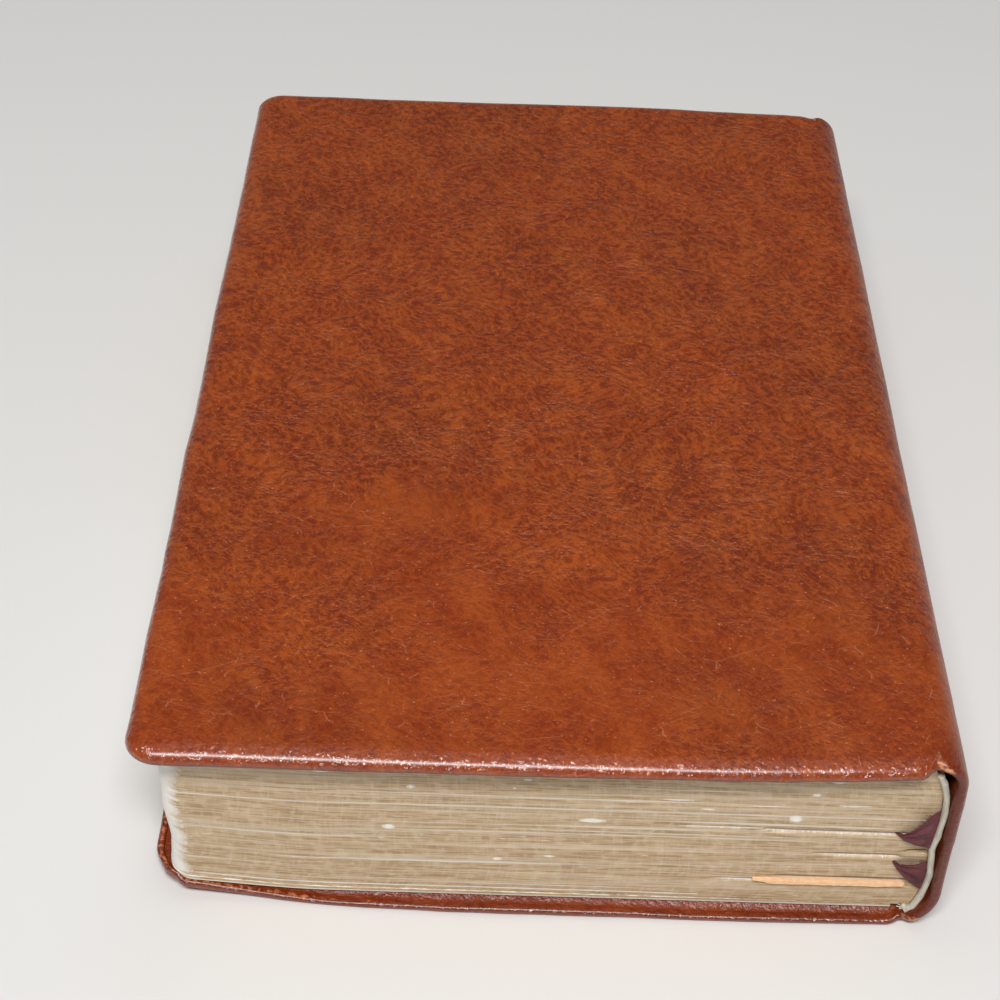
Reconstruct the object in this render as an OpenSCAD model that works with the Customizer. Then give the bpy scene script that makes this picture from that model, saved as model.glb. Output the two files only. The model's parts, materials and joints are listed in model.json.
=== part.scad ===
// Leather-bound book, lying closed on its back cover with the front cover up.
// X runs from the fore-edge (-X) to the spine (+X), Y from the head (-Y) to the tail (+Y), Z is up.
// The origin is on the surface that the book lies on, under the middle of its outline.

/* [Overall] */
// Width of the closed book, from the fore-edge of the front cover to the back of the spine
book_w = 147; // [135:1:165]
// Height of the covers, from head to tail
book_h = 225; // [203:1:248]
// Thickness of the closed book, from the underside to the top of the front cover
book_t = 45; // [40:1:58]

/* [Cover leather] */
// Thickness of the leather over the covers and the spine
leather_t = 1.0; // [0.8:0.1:1.3]
// Thickness of the pared leather that is turned in round each cover
turn_in_t = 0.6; // [0.5:0.1:0.8]
// Width of the leather that is turned in round each cover
turn_in_w = 14; // [10:1:22]
// Corner radius of both covers at the fore-edge
corner_r = 8; // [6:0.5:12]
// Radius of the bend where a cover rolls over the edge of the leaves
roll_r = 3.2; // [3:0.1:3.3]
// Depth of the rolled edge of the front cover along the fore-edge
front_lip_h = 4.6; // [4.6:0.1:8]
// Length over which that edge falls to its depth beside the spine
front_lip_fall = 60; // [20:1:100]
// Depth of the rolled edge of the front cover beside the spine
front_lip_end_h = 3.3; // [3.2:0.1:4.5]
// Height of the lip of the back cover along the fore-edge
back_lip_h = 7; // [5:0.1:8]
// Length over which that lip falls flat along the head and the tail
back_lip_fall = 44; // [20:1:80]
// How much further in the back cover stops at the fore-edge than the front cover
back_cover_short = 1.5; // [0:0.1:2.5]
// Smallest corner radius of what lies inside the turned-in leather
inner_corner_r = 1; // [0.5:0.1:2]

/* [Cover card and endpapers] */
// Thickness of the flexible card in each cover
board_t = 0.8; // [0.6:0.1:1.2]
// How far the card stops inside the bend of the leather
board_inset = 0.5; // [0.2:0.1:1.5]
// How far the card stops short of the hinge line
board_hinge_gap = 1.5; // [1:0.1:4]
// Thickness of the paper pasted inside each cover
pastedown_t = 0.3; // [0.1:0.05:0.5]
// Thickness of the blank leaves at the front
front_leaves_t = 0.6; // [0.2:0.1:1.2]
// Thickness of the blank leaves at the back
back_leaves_t = 0.9; // [0.2:0.1:1.5]

/* [Text block] */
// How far the covers stand past the leaves at the head and at the tail
square_w = 4.5; // [3:0.1:6.5]
// Distance from the front cover's fore-edge to the deepest place of the hollow fore-edge
fore_margin = 5.6; // [5.2:0.1:8]
// Radius of the hollow fore-edge
hollow_r = 180; // [150:5:400]
// Height of the deepest place of the hollow fore-edge above the table
hollow_z = 17; // [14:0.5:26]
// Radius of the rounded page corners at the fore-edge
page_corner_r = 4.5; // [3:0.5:8]
// Radius of the rounded back of the leaves at the spine
shoulder_in_r = 5; // [4:0.5:6]

/* [Spine] */
// Outer radius of the leather where the front cover turns into the spine
shoulder_r = 6.5; // [6:0.1:7.5]
// Outer radius of the leather at the foot of the spine
foot_r = 10; // [9:0.5:14]
// How far the foot of the spine draws in
foot_in = 2.4; // [2:0.1:3]
// Thickness of the card that stiffens the spine
spine_card_t = 0.4; // [0.3:0.1:0.6]
// Thickness of the leather turned in at the head cap and the tail cap
cap_turn_t = 0.5; // [0.4:0.1:0.7]
// Length of the leather turned in at the head cap and the tail cap
cap_turn_w = 12; // [8:1:20]
// Length of solid leather in the fold of each cap
cap_fold = 1.2; // [0.8:0.1:2]
// Rounding of the caps seen from above
cap_r = 2.5; // [1.5:0.1:3]
// Clearance between a cap and the band under it
cap_gap = 0.2; // [0.1:0.05:0.4]

/* [Bands and linings] */
// Thickness of the rolled bead of the headband and the tailband
band_t = 1.1; // [0.8:0.1:1.4]
// How far a bead stands out of the leaves
band_proud = 1.8; // [1:0.1:2.4]
// Thickness of the cloth that holds each bead
band_cloth_t = 0.3; // [0.2:0.1:0.5]
// Length of the cloth glued down the back of the leaves
band_cloth_w = 9; // [5:0.5:14]
// Thickness of the gauze glued to the back of the leaves
mull_t = 0.3; // [0.2:0.05:0.4]
// Thickness of the paper lining over the gauze
lining_t = 0.2; // [0.1:0.05:0.3]
// Gap between the linings and the cloth of each band
lining_gap = 0.5; // [0.3:0.1:2]

/* [Ribbons and slip] */
// Width of each ribbon marker
ribbon_w = 9.5; // [6:0.5:12]
// Thickness of each ribbon marker
ribbon_t = 0.3; // [0.2:0.05:0.5]
// Height of the opening between leaves that a ribbon lies in
ribbon_slot_t = 0.5; // [0.4:0.05:0.8]
// Distance from the back of the leaves to a ribbon between them
ribbon_seat = 1; // [0.8:0.1:3]
// Height of the leaf that the upper ribbon marks
upper_ribbon_z = 23; // [20:0.5:30]
// Height of the leaf that the lower ribbon marks
lower_ribbon_z = 16.7; // [13:0.1:17]
// Visible length of each ribbon's fold on the head of the leaves
ribbon_fold_w = 7; // [5:0.5:10]
// How far the upper ribbon's fold reaches over its leaf at the band
upper_fold_over = 6.6; // [4:0.1:7]
// How far the upper ribbon's fold reaches under its leaf at the band
upper_fold_under = 2.9; // [1:0.1:3]
// Distance under its leaf at which the lower ribbon's fold starts at the band
lower_fold_start = 1.4; // [0.5:0.1:2]
// Distance under its leaf at which the lower ribbon's fold ends at the band
lower_fold_end = 7.4; // [5:0.1:8]
// Radius of the bend where the lower ribbon hangs out at the tail
ribbon_bend_r = 1.8; // [1:0.1:1.9]
// Clearance between the ribbons at the tail, where the upper one hangs outside the lower
ribbon_lap = 0.2; // [0.1:0.05:0.3]
// Length of ribbon that hangs down the tail of the leaves
ribbon_drop = 8; // [4:0.5:8.5]
// Width of the card slip between the leaves
slip_w = 28; // [15:1:40]
// Thickness of the card slip
slip_t = 1.4; // [0.6:0.1:2]
// Length of the card slip
slip_l = 150; // [60:5:190]
// Height of the slip above the table
slip_z = 9.8; // [8:0.1:11]
// Distance from the back of the leaves to the slip
slip_seat = 3.4; // [2:0.1:30]
// How far the slip stands out of the leaves at the head
slip_out = 0.9; // [0:0.1:2.4]
// Clearance over and under the slip, and beside it
slip_play = 0.1; // [0.05:0.05:0.3]

/* [Fits] */
// Clearance between the covers and what they close on
play = 0.3; // [0.3:0.05:0.5]

/* [Hidden] */

cover_t = leather_t + board_t + turn_in_t;
half_h = book_h / 2;
fore_x = -book_w / 2;
spine_x = book_w / 2;

// Hinge lines: the front one in the outer skin, the back one in the middle of the cover
front_hinge_x = spine_x - shoulder_r;
back_hinge_x = spine_x - foot_in - cover_t / 2;
back_fore_x = fore_x + back_cover_short;

// The spine's arcs
shoulder_z = book_t - shoulder_r;
foot_end_z = cover_t + play;
foot_z = foot_end_z + sqrt(pow(foot_r, 2) - pow(foot_r - foot_in, 2));
cap_t = leather_t + spine_card_t + cap_turn_t;

// The leaves
block_back_x = spine_x - cap_t - cap_gap - band_t;
block_fore_x = fore_x + fore_margin;
block_half_h = half_h - square_w;
block_z0 = cover_t + play + back_leaves_t;
block_z1 = book_t - cover_t - play - front_leaves_t;
leaf_back_x = block_back_x - shoulder_in_r;
lining_half_h = block_half_h - band_cloth_w - lining_gap;

// The slip tapers to a point over this share of its width
slip_taper = 0.3;
slip_right_x = block_back_x - slip_seat;
ribbon_right_x = block_back_x - ribbon_seat;
upper_bend_r = ribbon_bend_r + ribbon_t + ribbon_lap;

cut = 1;
arc_fn = 96;
sweep_fn = 720;

leather_colour = "saddlebrown";
paper_colour = "beige";
gilt_colour = "darkkhaki";
ribbon_colour = "#4a1a26";

// Panel with square corners at x1 and corners of radius r at x0, seen from above
module panel(x0, x1, half, r) {
    translate([x0 + r, -half]) square([x1 - x0 - r, 2 * half]);
    translate([x0, -half + r]) square([x1 - x0, 2 * (half - r)]);
    for (side = [-1, 1])
        translate([x0 + r, side * (half - r)]) circle(r, $fn = arc_fn);
}

// The outline of a cover that starts at x0 and ends at x1, drawn in by inset except at x1
module cover_plan(x0, x1, inset) {
    panel(x0 + inset, x1, half_h - inset, max(corner_r - inset, inner_corner_r));
}

// Section of a rolled edge: the bend, the leg and the folded rim.
// X is the distance in from the edge, and the outer skin of the cover lies at 0 on Y.
module lip_section(lip_h) {
    intersection() {
        translate([roll_r, -roll_r]) difference() {
            circle(roll_r, $fn = arc_fn);
            circle(roll_r - cover_t, $fn = arc_fn);
        }
        translate([0, -roll_r]) square(roll_r);
    }
    translate([0, cover_t / 2 - lip_h]) square([cover_t, lip_h - roll_r - cover_t / 2]);
    translate([cover_t / 2, cover_t / 2 - lip_h]) circle(cover_t / 2, $fn = arc_fn);
}

// The rolled edge along the head and round its corner
module head_lip(x0, x1, lip_h) {
    translate([x0 + corner_r, -half_h, 0])
        rotate([90, 0, 90]) linear_extrude(x1 - x0 - corner_r) lip_section(lip_h);
    translate([x0 + corner_r, corner_r - half_h, 0])
        rotate([0, 0, 180]) rotate_extrude(angle = 90, $fn = arc_fn)
            translate([corner_r, 0]) mirror([1, 0]) lip_section(lip_h);
}

// The rolled edge all round a cover but for its hinge side
module rolled_edge(x0, x1, lip_h) {
    head_lip(x0, x1, lip_h);
    mirror([0, 1, 0]) head_lip(x0, x1, lip_h);
    translate([x0, 0, 0])
        rotate([90, 0, 0]) linear_extrude(book_h - 2 * corner_r, center = true) lip_section(lip_h);
}

// What is cut off the rolled edge so that it falls from lip_h at fall_x0 to end_h at fall_x1
module lip_fall(fall_x0, fall_x1, lip_h, end_h) {
    rotate([90, 0, 0]) linear_extrude(book_h + 2 * cut, center = true)
        polygon([
            [fall_x0, -lip_h], [fall_x1, -end_h], [spine_x, -end_h],
            [spine_x, -lip_h - cut], [fall_x0, -lip_h - cut],
        ]);
}

// Leather of a cover, with its outer skin at height 0 and the rest below it.
// It is one skin, rolled over at the edges and turned in over the card.
module cover_leather(x0, x1, lip_h, end_h, fall) {
    fall_x0 = x0 + corner_r;
    difference() {
        union() {
            translate([0, 0, -leather_t]) linear_extrude(leather_t) cover_plan(x0, x1, roll_r);
            translate([0, 0, -cover_t]) linear_extrude(cover_t) difference() {
                cover_plan(x0, x1, roll_r);
                cover_plan(x0, x1 + cut, roll_r + board_inset);
            }
            translate([0, 0, -cover_t]) linear_extrude(turn_in_t) difference() {
                cover_plan(x0, x1, roll_r);
                cover_plan(x0, x1 + cut, turn_in_w);
            }
            rolled_edge(x0, x1, lip_h);
        }
        lip_fall(fall_x0, fall_x0 + fall, lip_h, end_h);
    }
}

// Card of a cover, in the pocket between the skin and the turned-in leather
module cover_board(x0, x1) {
    translate([0, 0, -leather_t - board_t]) linear_extrude(board_t)
        cover_plan(x0, x1 - board_hinge_gap, roll_r + board_inset);
}

// Paper pasted on the card, inside the turned-in leather
module cover_pastedown(x0, x1) {
    translate([0, 0, -leather_t - board_t - pastedown_t]) linear_extrude(pastedown_t)
        cover_plan(x0, x1 - board_hinge_gap, turn_in_w);
}

// Places a cover drawn at height 0 as the front cover
module as_front() {
    translate([0, 0, book_t]) children();
}

// Places a cover drawn at height 0 as the back cover, inside up
module as_back() {
    mirror([0, 0, 1]) children();
}

front_end_x = front_hinge_x - play / 2;

module front_leather() {
    color(leather_colour) as_front()
        cover_leather(fore_x, front_end_x, front_lip_h, front_lip_end_h, front_lip_fall);
}

module front_board() {
    color("tan") as_front() cover_board(fore_x, front_end_x);
}

module front_pastedown() {
    color(paper_colour) as_front() cover_pastedown(fore_x, front_end_x);
}

// The back leather ends in a rounded roll on the hinge line
module back_leather() {
    color(leather_colour) {
        as_back() cover_leather(back_fore_x, back_hinge_x, back_lip_h, cover_t, back_lip_fall);
        translate([back_hinge_x, 0, cover_t / 2])
            rotate([90, 0, 0]) cylinder(h = book_h, r = cover_t / 2, center = true, $fn = arc_fn);
    }
}

module back_board() {
    color("tan") as_back() cover_board(back_fore_x, back_hinge_x);
}

module back_pastedown() {
    color(paper_colour) as_back() cover_pastedown(back_fore_x, back_hinge_x);
}

// Extrudes an outline drawn in X and Z along Y, over length, centred
module along_book(length) {
    rotate([90, 0, 0]) linear_extrude(length, center = true) children();
}

// What the spine encloses at a depth of inset under its skin, from the hollow to the back
module spine_inside(inset) {
    left_x = spine_x - foot_r - cut;
    translate([left_x, foot_z]) square([spine_x - inset - left_x, shoulder_z - foot_z]);
    translate([left_x, shoulder_z - cut])
        square([front_hinge_x - left_x, shoulder_r + cut - inset]);
    translate([front_hinge_x, shoulder_z]) circle(shoulder_r - inset, $fn = arc_fn);
    translate([spine_x - foot_r, foot_z]) circle(foot_r - inset, $fn = arc_fn);
}

// Section of the spine between two depths under its skin, from the front hinge to its foot
module spine_shell(outer, inner) {
    intersection() {
        difference() {
            spine_inside(outer);
            spine_inside(inner);
        }
        translate([front_hinge_x + play / 2, foot_end_z]) square([shoulder_r, book_t]);
    }
}

// One skin, folded over the card at the head and the tail into a cap
module spine_leather() {
    color(leather_colour) intersection() {
        union() {
            along_book(book_h) spine_shell(0, leather_t);
            for (side = [-1, 1]) {
                translate([0, side * (half_h - cap_turn_w / 2), 0])
                    along_book(cap_turn_w) spine_shell(leather_t + spine_card_t, cap_t);
                translate([0, side * (half_h - cap_fold / 2), 0])
                    along_book(cap_fold) spine_shell(0, cap_t);
            }
        }
        linear_extrude(book_t) mirror([1, 0]) panel(-spine_x, 0, half_h, cap_r);
    }
}

module spine_card() {
    color("tan") along_book(book_h - 2 * cap_fold) spine_shell(leather_t, leather_t + spine_card_t);
}

// Section of the leaves: flat above and below, with a rounded back, grown by proud at the back
module leaves_section(proud) {
    r = shoulder_in_r + proud;
    left_x = fore_x;
    middle = block_z1 - block_z0 - 2 * shoulder_in_r;
    translate([left_x, block_z0 - proud])
        square([leaf_back_x - left_x, block_z1 - block_z0 + 2 * proud]);
    translate([left_x, block_z0 + shoulder_in_r])
        square([block_back_x + proud - left_x, middle]);
    for (z = [block_z0 + shoulder_in_r, block_z1 - shoulder_in_r])
        translate([leaf_back_x, z]) circle(r, $fn = arc_fn);
}

// Section of a layer on the back of the leaves, from depth to proud out of them
module back_layer(depth, proud) {
    intersection() {
        difference() {
            leaves_section(proud);
            leaves_section(depth);
        }
        translate([front_hinge_x + play, foot_end_z + play])
            square([spine_x - front_hinge_x, book_t]);
    }
}

// Leaves of one outline turned about the axis of the hollow fore-edge
module fore_edge_sweep(half) {
    low = 8;
    high = 14;
    translate([block_fore_x - hollow_r, 0, hollow_z])
        rotate([90, 0, 0]) rotate([0, 0, -low]) rotate_extrude(angle = low + high, $fn = sweep_fn)
            panel(hollow_r, hollow_r + book_w, half, page_corner_r);
}

// Opening between two leaves for a ribbon, from head to tail
module ribbon_slot(z) {
    translate([ribbon_right_x - ribbon_w - slip_play, -half_h, z - ribbon_slot_t / 2])
        cube([ribbon_w + 2 * slip_play, book_h, ribbon_slot_t]);
}

module slip_section(grow) {
    polygon([
        [-slip_w - grow, 0],
        [-slip_w * (1 - slip_taper), slip_t / 2 + grow], [grow, slip_t / 2 + grow],
        [grow, -slip_t / 2 - grow], [-slip_w * (1 - slip_taper), -slip_t / 2 - grow],
    ]);
}

module placed_slip(length, grow) {
    translate([slip_right_x, -block_half_h - slip_out - grow, slip_z])
        rotate([90, 0, 180]) mirror([1, 0, 0]) linear_extrude(length + 2 * grow) slip_section(grow);
}

module text_block() {
    color(gilt_colour) difference() {
        intersection() {
            fore_edge_sweep(block_half_h);
            along_book(book_h) leaves_section(0);
        }
        ribbon_slot(upper_ribbon_z);
        ribbon_slot(lower_ribbon_z);
        placed_slip(slip_l, slip_play);
    }
}

// Blank leaves between z0 and z1, cut to the fore-edge of the leaves beside them
module blank_leaves(z0, z1) {
    color(paper_colour) intersection() {
        fore_edge_sweep(block_half_h);
        translate([fore_x, -half_h, z0]) cube([leaf_back_x - fore_x, book_h, z1 - z0]);
    }
}

module front_flyleaves() {
    blank_leaves(block_z1, block_z1 + front_leaves_t);
}

module back_flyleaves() {
    blank_leaves(block_z0 - back_leaves_t, block_z0);
}

module spine_mull() {
    color("linen") along_book(2 * lining_half_h) back_layer(0, mull_t);
}

module spine_lining() {
    color("burlywood") along_book(2 * lining_half_h) back_layer(mull_t, mull_t + lining_t);
}

// Bead on the edge of the leaves, with the cloth that holds it glued down their back
module headband() {
    color("ivory") {
        translate([0, -block_half_h - band_proud / 2, 0])
            along_book(band_proud) back_layer(0, band_t);
        translate([0, -block_half_h + band_cloth_w / 2, 0])
            along_book(band_cloth_w) back_layer(0, band_cloth_t);
    }
}

module tailband() {
    mirror([0, 1, 0]) headband();
}

// Ribbon: its fold on the head, the run between two leaves, and the end hanging at the tail.
// The fold reaches from fold_low to fold_high at the band, measured from the leaf at z.
module ribbon(z, fold_low, fold_high, bend_r) {
    left_x = ribbon_right_x - ribbon_w;
    color(ribbon_colour) {
        translate([0, -block_half_h, z]) rotate([90, 0, 0]) linear_extrude(ribbon_t)
            polygon([
                [block_back_x - ribbon_fold_w, ribbon_t / 2], [block_back_x - ribbon_fold_w, -ribbon_t / 2],
                [block_back_x, fold_low], [block_back_x, fold_high],
            ]);
        translate([left_x, -block_half_h, z - ribbon_t / 2])
            cube([ribbon_w, 2 * block_half_h, ribbon_t]);
        translate([left_x, block_half_h, z + ribbon_t / 2 - bend_r])
            rotate([90, 0, 90]) linear_extrude(ribbon_w) intersection() {
                difference() {
                    circle(bend_r, $fn = arc_fn);
                    circle(bend_r - ribbon_t, $fn = arc_fn);
                }
                square(bend_r);
            }
        translate([left_x, block_half_h + bend_r - ribbon_t, z + ribbon_t / 2 - bend_r - ribbon_drop])
            cube([ribbon_w, ribbon_t, ribbon_drop]);
    }
}

module ribbon_upper() {
    ribbon(upper_ribbon_z, -upper_fold_under, upper_fold_over, upper_bend_r);
}

module ribbon_lower() {
    ribbon(lower_ribbon_z, -lower_fold_end, -lower_fold_start, ribbon_bend_r);
}

module card_slip() {
    color("sandybrown") placed_slip(slip_l, 0);
}

text_block();
front_flyleaves();
back_flyleaves();
spine_mull();
spine_lining();
headband();
tailband();
ribbon_upper();
ribbon_lower();
card_slip();
spine_leather();
spine_card();
front_leather();
front_board();
front_pastedown();
back_leather();
back_board();
back_pastedown();
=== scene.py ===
"""Looks of a flexible leather-bound book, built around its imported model.

Sizes in the classes below are millimetres in the model's own frame: X runs from the fore-edge to the
spine, Y from the head to the tail, and Z is up. Meshes are written in metres.
"""

from __future__ import annotations

import json
import logging
import math
from dataclasses import dataclass, field
from enum import Enum
from functools import cache

import bmesh
import bpy
import numpy as np
from mathutils import Matrix, Vector

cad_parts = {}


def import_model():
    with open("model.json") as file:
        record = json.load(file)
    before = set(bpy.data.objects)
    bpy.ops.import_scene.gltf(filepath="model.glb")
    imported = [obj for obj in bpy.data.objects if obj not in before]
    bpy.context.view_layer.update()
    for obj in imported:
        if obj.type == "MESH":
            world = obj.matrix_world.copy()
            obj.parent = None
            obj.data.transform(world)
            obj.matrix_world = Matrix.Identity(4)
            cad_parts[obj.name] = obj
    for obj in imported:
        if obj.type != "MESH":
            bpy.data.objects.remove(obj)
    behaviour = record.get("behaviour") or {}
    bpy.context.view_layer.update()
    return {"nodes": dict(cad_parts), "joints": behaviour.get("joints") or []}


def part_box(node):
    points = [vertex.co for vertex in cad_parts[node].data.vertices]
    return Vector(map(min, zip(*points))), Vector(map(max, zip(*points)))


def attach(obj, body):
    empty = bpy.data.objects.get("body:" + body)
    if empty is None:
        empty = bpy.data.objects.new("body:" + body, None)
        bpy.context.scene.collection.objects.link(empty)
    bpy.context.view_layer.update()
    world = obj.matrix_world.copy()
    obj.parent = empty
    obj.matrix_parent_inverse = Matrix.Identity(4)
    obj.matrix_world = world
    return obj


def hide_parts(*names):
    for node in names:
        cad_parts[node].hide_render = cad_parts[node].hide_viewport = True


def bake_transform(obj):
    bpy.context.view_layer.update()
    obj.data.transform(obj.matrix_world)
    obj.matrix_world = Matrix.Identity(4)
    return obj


log = logging.getLogger("book")

Array = np.ndarray
Colour = tuple[float, float, float]
Socket = bpy.types.NodeSocket

MM = 0.001
QUARTER = math.pi / 2
SKIN_UV = "Skin"
CURL_H = 2.2
CURL_X = (-74.0, -40.0)


class Slot(Enum):
    """Material slots of the record that the new pieces take their finish from."""

    LEATHER = "cover_leather"
    LEAVES = "gilt_leaves"
    ENDPAPER = "endpaper"
    LINING = "lining_paper"
    BOARD = "board"
    CLOTH = "band_cloth"
    RIBBON = "ribbon"
    SLIP = "slip"


class Body(Enum):
    """Bodies of the model that pieces move with."""

    LEAVES = "leaves"
    FRONT = "front_cover"
    BACK = "back_cover"


def ease(low: float, high: float, value: Array) -> Array:
    """Rise from 0 at low to 1 at high along t * t * (3 - 2 * t), where t runs evenly between them."""
    t = np.clip((value - low) / (high - low), 0.0, 1.0)
    return t * t * (3.0 - 2.0 * t)


def bell(centre: float, width: float, value: Array) -> Array:
    """Bell curve that is 1 at centre and falls off as exp(-((value - centre) / width) squared)."""
    return np.exp(-(((value - centre) / width) ** 2))


def mix(low: Array, high: Array, share: Array) -> Array:
    """Value that is low at share 0 and high at share 1."""
    return low + (high - low) * share


def drift(u: Array, v: Array, seed: int) -> Array:
    """Smooth noise from -1 to 1 over two coordinates.

    Each whole-number point holds a random value. Between four of them the value is eased both ways.

    Args:
        u: First coordinate, in cells.
        v: Second coordinate, in cells.
        seed: Seed of the random values.

    Returns:
        One value for each pair of coordinates.
    """
    size = 97
    table = np.random.default_rng(seed).uniform(-1.0, 1.0, (size, size))
    u, v = np.broadcast_arrays(u, v)
    column, row = np.floor(u).astype(int), np.floor(v).astype(int)
    across, along = ease(0.0, 1.0, u - column), ease(0.0, 1.0, v - row)
    near = mix(table[column % size, row % size], table[(column + 1) % size, row % size], across)
    far = mix(table[column % size, (row + 1) % size], table[(column + 1) % size, (row + 1) % size], across)
    return mix(near, far, along)


def curl(x: Array) -> Array:
    """Lift of the back cover and of the leaves on it: CURL_H at the fore-edge, eased to 0 along CURL_X."""
    return CURL_H * (1.0 - ease(*CURL_X, x))


def curve_through(knots: Array, at: Array) -> Array:
    """Smooth curve through given points.

    Between two knots it is the cubic whose slopes at both ends are the mean slopes of the knots around
    them, so that it has no corner.

    Args:
        knots: One row for each point, in order.
        at: Places along the curve, from 0 at the first knot to 1 at the last.

    Returns:
        One row for each place.
    """
    slopes = np.gradient(knots, axis=0)
    place = np.clip(at, 0.0, 1.0) * (len(knots) - 1)
    first = np.minimum(place.astype(int), len(knots) - 2)
    t = (place - first)[:, None]
    a, b, sa, sb = knots[first], knots[first + 1], slopes[first], slopes[first + 1]
    return (
        a * (1 + 2 * t) * (1 - t) ** 2
        + sa * t * (1 - t) ** 2
        + b * t**2 * (3 - 2 * t)
        + sb * t**2 * (t - 1)
    )


@dataclass
class Patch:
    """A sheet of points on a grid, with its UV place and its painted values."""

    points: Array
    uv: Array
    paint: dict[str, Array] = field(default_factory=dict)

    def quads(self, first: int) -> Array:
        """Corners of each cell of the grid, where first is the index of the sheet's first point."""
        rows, columns = self.points.shape[:2]
        index = first + np.arange(rows * columns).reshape(rows, columns)
        corners = (index[:-1, :-1], index[1:, :-1], index[1:, 1:], index[:-1, 1:])
        return np.stack(corners, axis=-1).reshape(-1, 4)

    def edge_pair(self, column: int, middle: int) -> Patch:
        """Two-column sheet that closes a folded grid at one of its end columns.

        Args:
            column: The end column to close.
            middle: The row of the fold. Rows at the same distance on both sides of it are joined.

        Returns:
            The closing sheet.
        """

        def pair(values: Array) -> Array:
            line = values[:, column]
            return np.stack([line[: middle + 1], line[middle:][::-1]], axis=1)

        paint = {name: pair(values) for name, values in self.paint.items()}
        return Patch(pair(self.points), pair(self.uv), paint)


def make_mesh(
    name: str, patches: list[Patch], sharp_deg: float = 50.0, weld: float = 1e-6
) -> bpy.types.Object:
    """Mesh object of several sheets, welded where they meet.

    Args:
        name: Name of the new object.
        patches: Sheets in millimetres.
        sharp_deg: Angle between faces above which an edge is drawn sharp.
        weld: Distance in metres under which two points become one.

    Returns:
        The object, at the origin.
    """
    counts = [0, *np.cumsum([patch.points.shape[0] * patch.points.shape[1] for patch in patches])]
    points = np.concatenate([patch.points.reshape(-1, 3) for patch in patches]) * MM
    quads = np.concatenate([patch.quads(first) for patch, first in zip(patches, counts)])
    uv = np.concatenate([patch.uv.reshape(-1, 2) for patch in patches]) * MM
    mesh = bpy.data.meshes.new(name)
    mesh.vertices.add(len(points))
    mesh.vertices.foreach_set("co", points.astype(np.float32).ravel())
    mesh.loops.add(quads.size)
    mesh.loops.foreach_set("vertex_index", quads.astype(np.int32).ravel())
    mesh.polygons.add(len(quads))
    mesh.polygons.foreach_set("loop_start", np.arange(0, quads.size, 4, dtype=np.int32))
    mesh.update(calc_edges=True)
    layer = mesh.uv_layers.new(name=SKIN_UV)
    layer.data.foreach_set("uv", uv[quads.ravel()].astype(np.float32).ravel())
    for channel in patches[0].paint:
        values = np.concatenate([patch.paint[channel].ravel() for patch in patches])
        attribute = mesh.attributes.new(channel, "FLOAT", "POINT")
        attribute.data.foreach_set("value", values.astype(np.float32))
    joined = bmesh.new()
    joined.from_mesh(mesh)
    bmesh.ops.remove_doubles(joined, verts=joined.verts, dist=weld)
    bmesh.ops.dissolve_degenerate(joined, edges=joined.edges, dist=weld / 10)
    bmesh.ops.recalc_face_normals(joined, faces=joined.faces)
    joined.to_mesh(mesh)
    joined.free()
    mesh.shade_smooth()
    mesh.set_sharp_from_angle(angle=math.radians(sharp_deg))
    piece = bpy.data.objects.new(name, mesh)
    bpy.context.scene.collection.objects.link(piece)
    return piece


def box_mm(node: str) -> tuple[Vector, Vector]:
    """Lowest and highest corner of a node of the frame, in millimetres."""
    low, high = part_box(node)
    return low / MM, high / MM


@dataclass(frozen=True)
class BookSizes:
    """Sizes and places of the closed book, in millimetres, read from the frame."""

    fore_x: float
    back_fore_x: float
    spine_x: float
    half_h: float
    top_z: float
    block_half_h: float
    block_z: tuple[float, float]
    leaf_back_x: float
    front_leaves_z: tuple[float, float]
    back_leaves_z: tuple[float, float]
    front_hinge: tuple[float, float]
    back_hinge: tuple[float, float]
    front_paper_x: float
    back_paper_x: float
    front_paper_z: float
    back_paper_z: float
    slip_x: tuple[float, float]
    slip_y: tuple[float, float]
    slip_z: float
    ribbon_x: tuple[float, float]

    @classmethod
    def from_frame(cls, joints: list[dict]) -> BookSizes:
        """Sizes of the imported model.

        Args:
            joints: The frame's joints.

        Returns:
            The sizes.
        """
        front_low, front_high = box_mm("front_leather")
        back_low, _ = box_mm("back_leather")
        _, spine_high = box_mm("spine_leather")
        block_low, block_high = box_mm("text_block")
        front_leaf_low, front_leaf_high = box_mm("front_flyleaves")
        back_leaf_low, back_leaf_high = box_mm("back_flyleaves")
        front_paper_low, front_paper_high = box_mm("front_pastedown")
        _, back_paper_high = box_mm("back_pastedown")
        slip_low, slip_high = box_mm("card_slip")
        ribbon_low, ribbon_high = box_mm("ribbon_upper")
        hinges = {joint["name"]: [value / MM for value in joint["pos_m"]] for joint in joints}
        front, back = hinges["front_cover_hinge"], hinges["back_cover_hinge"]
        return cls(
            fore_x=front_low.x,
            back_fore_x=back_low.x,
            spine_x=spine_high.x,
            half_h=front_high.y,
            top_z=front_high.z,
            block_half_h=block_high.y,
            block_z=(block_low.z, block_high.z),
            leaf_back_x=front_leaf_high.x,
            front_leaves_z=(front_leaf_low.z, front_leaf_high.z),
            back_leaves_z=(back_leaf_low.z, back_leaf_high.z),
            front_hinge=(front[0], front[2]),
            back_hinge=(back[0], back[2]),
            front_paper_x=front_paper_high.x,
            back_paper_x=back_paper_high.x,
            front_paper_z=front_paper_low.z,
            back_paper_z=back_paper_high.z,
            slip_x=(slip_low.x, slip_high.x),
            slip_y=(slip_low.y, slip_high.y),
            slip_z=(slip_low.z + slip_high.z) / 2,
            ribbon_x=(ribbon_low.x, ribbon_high.x),
        )


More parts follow.
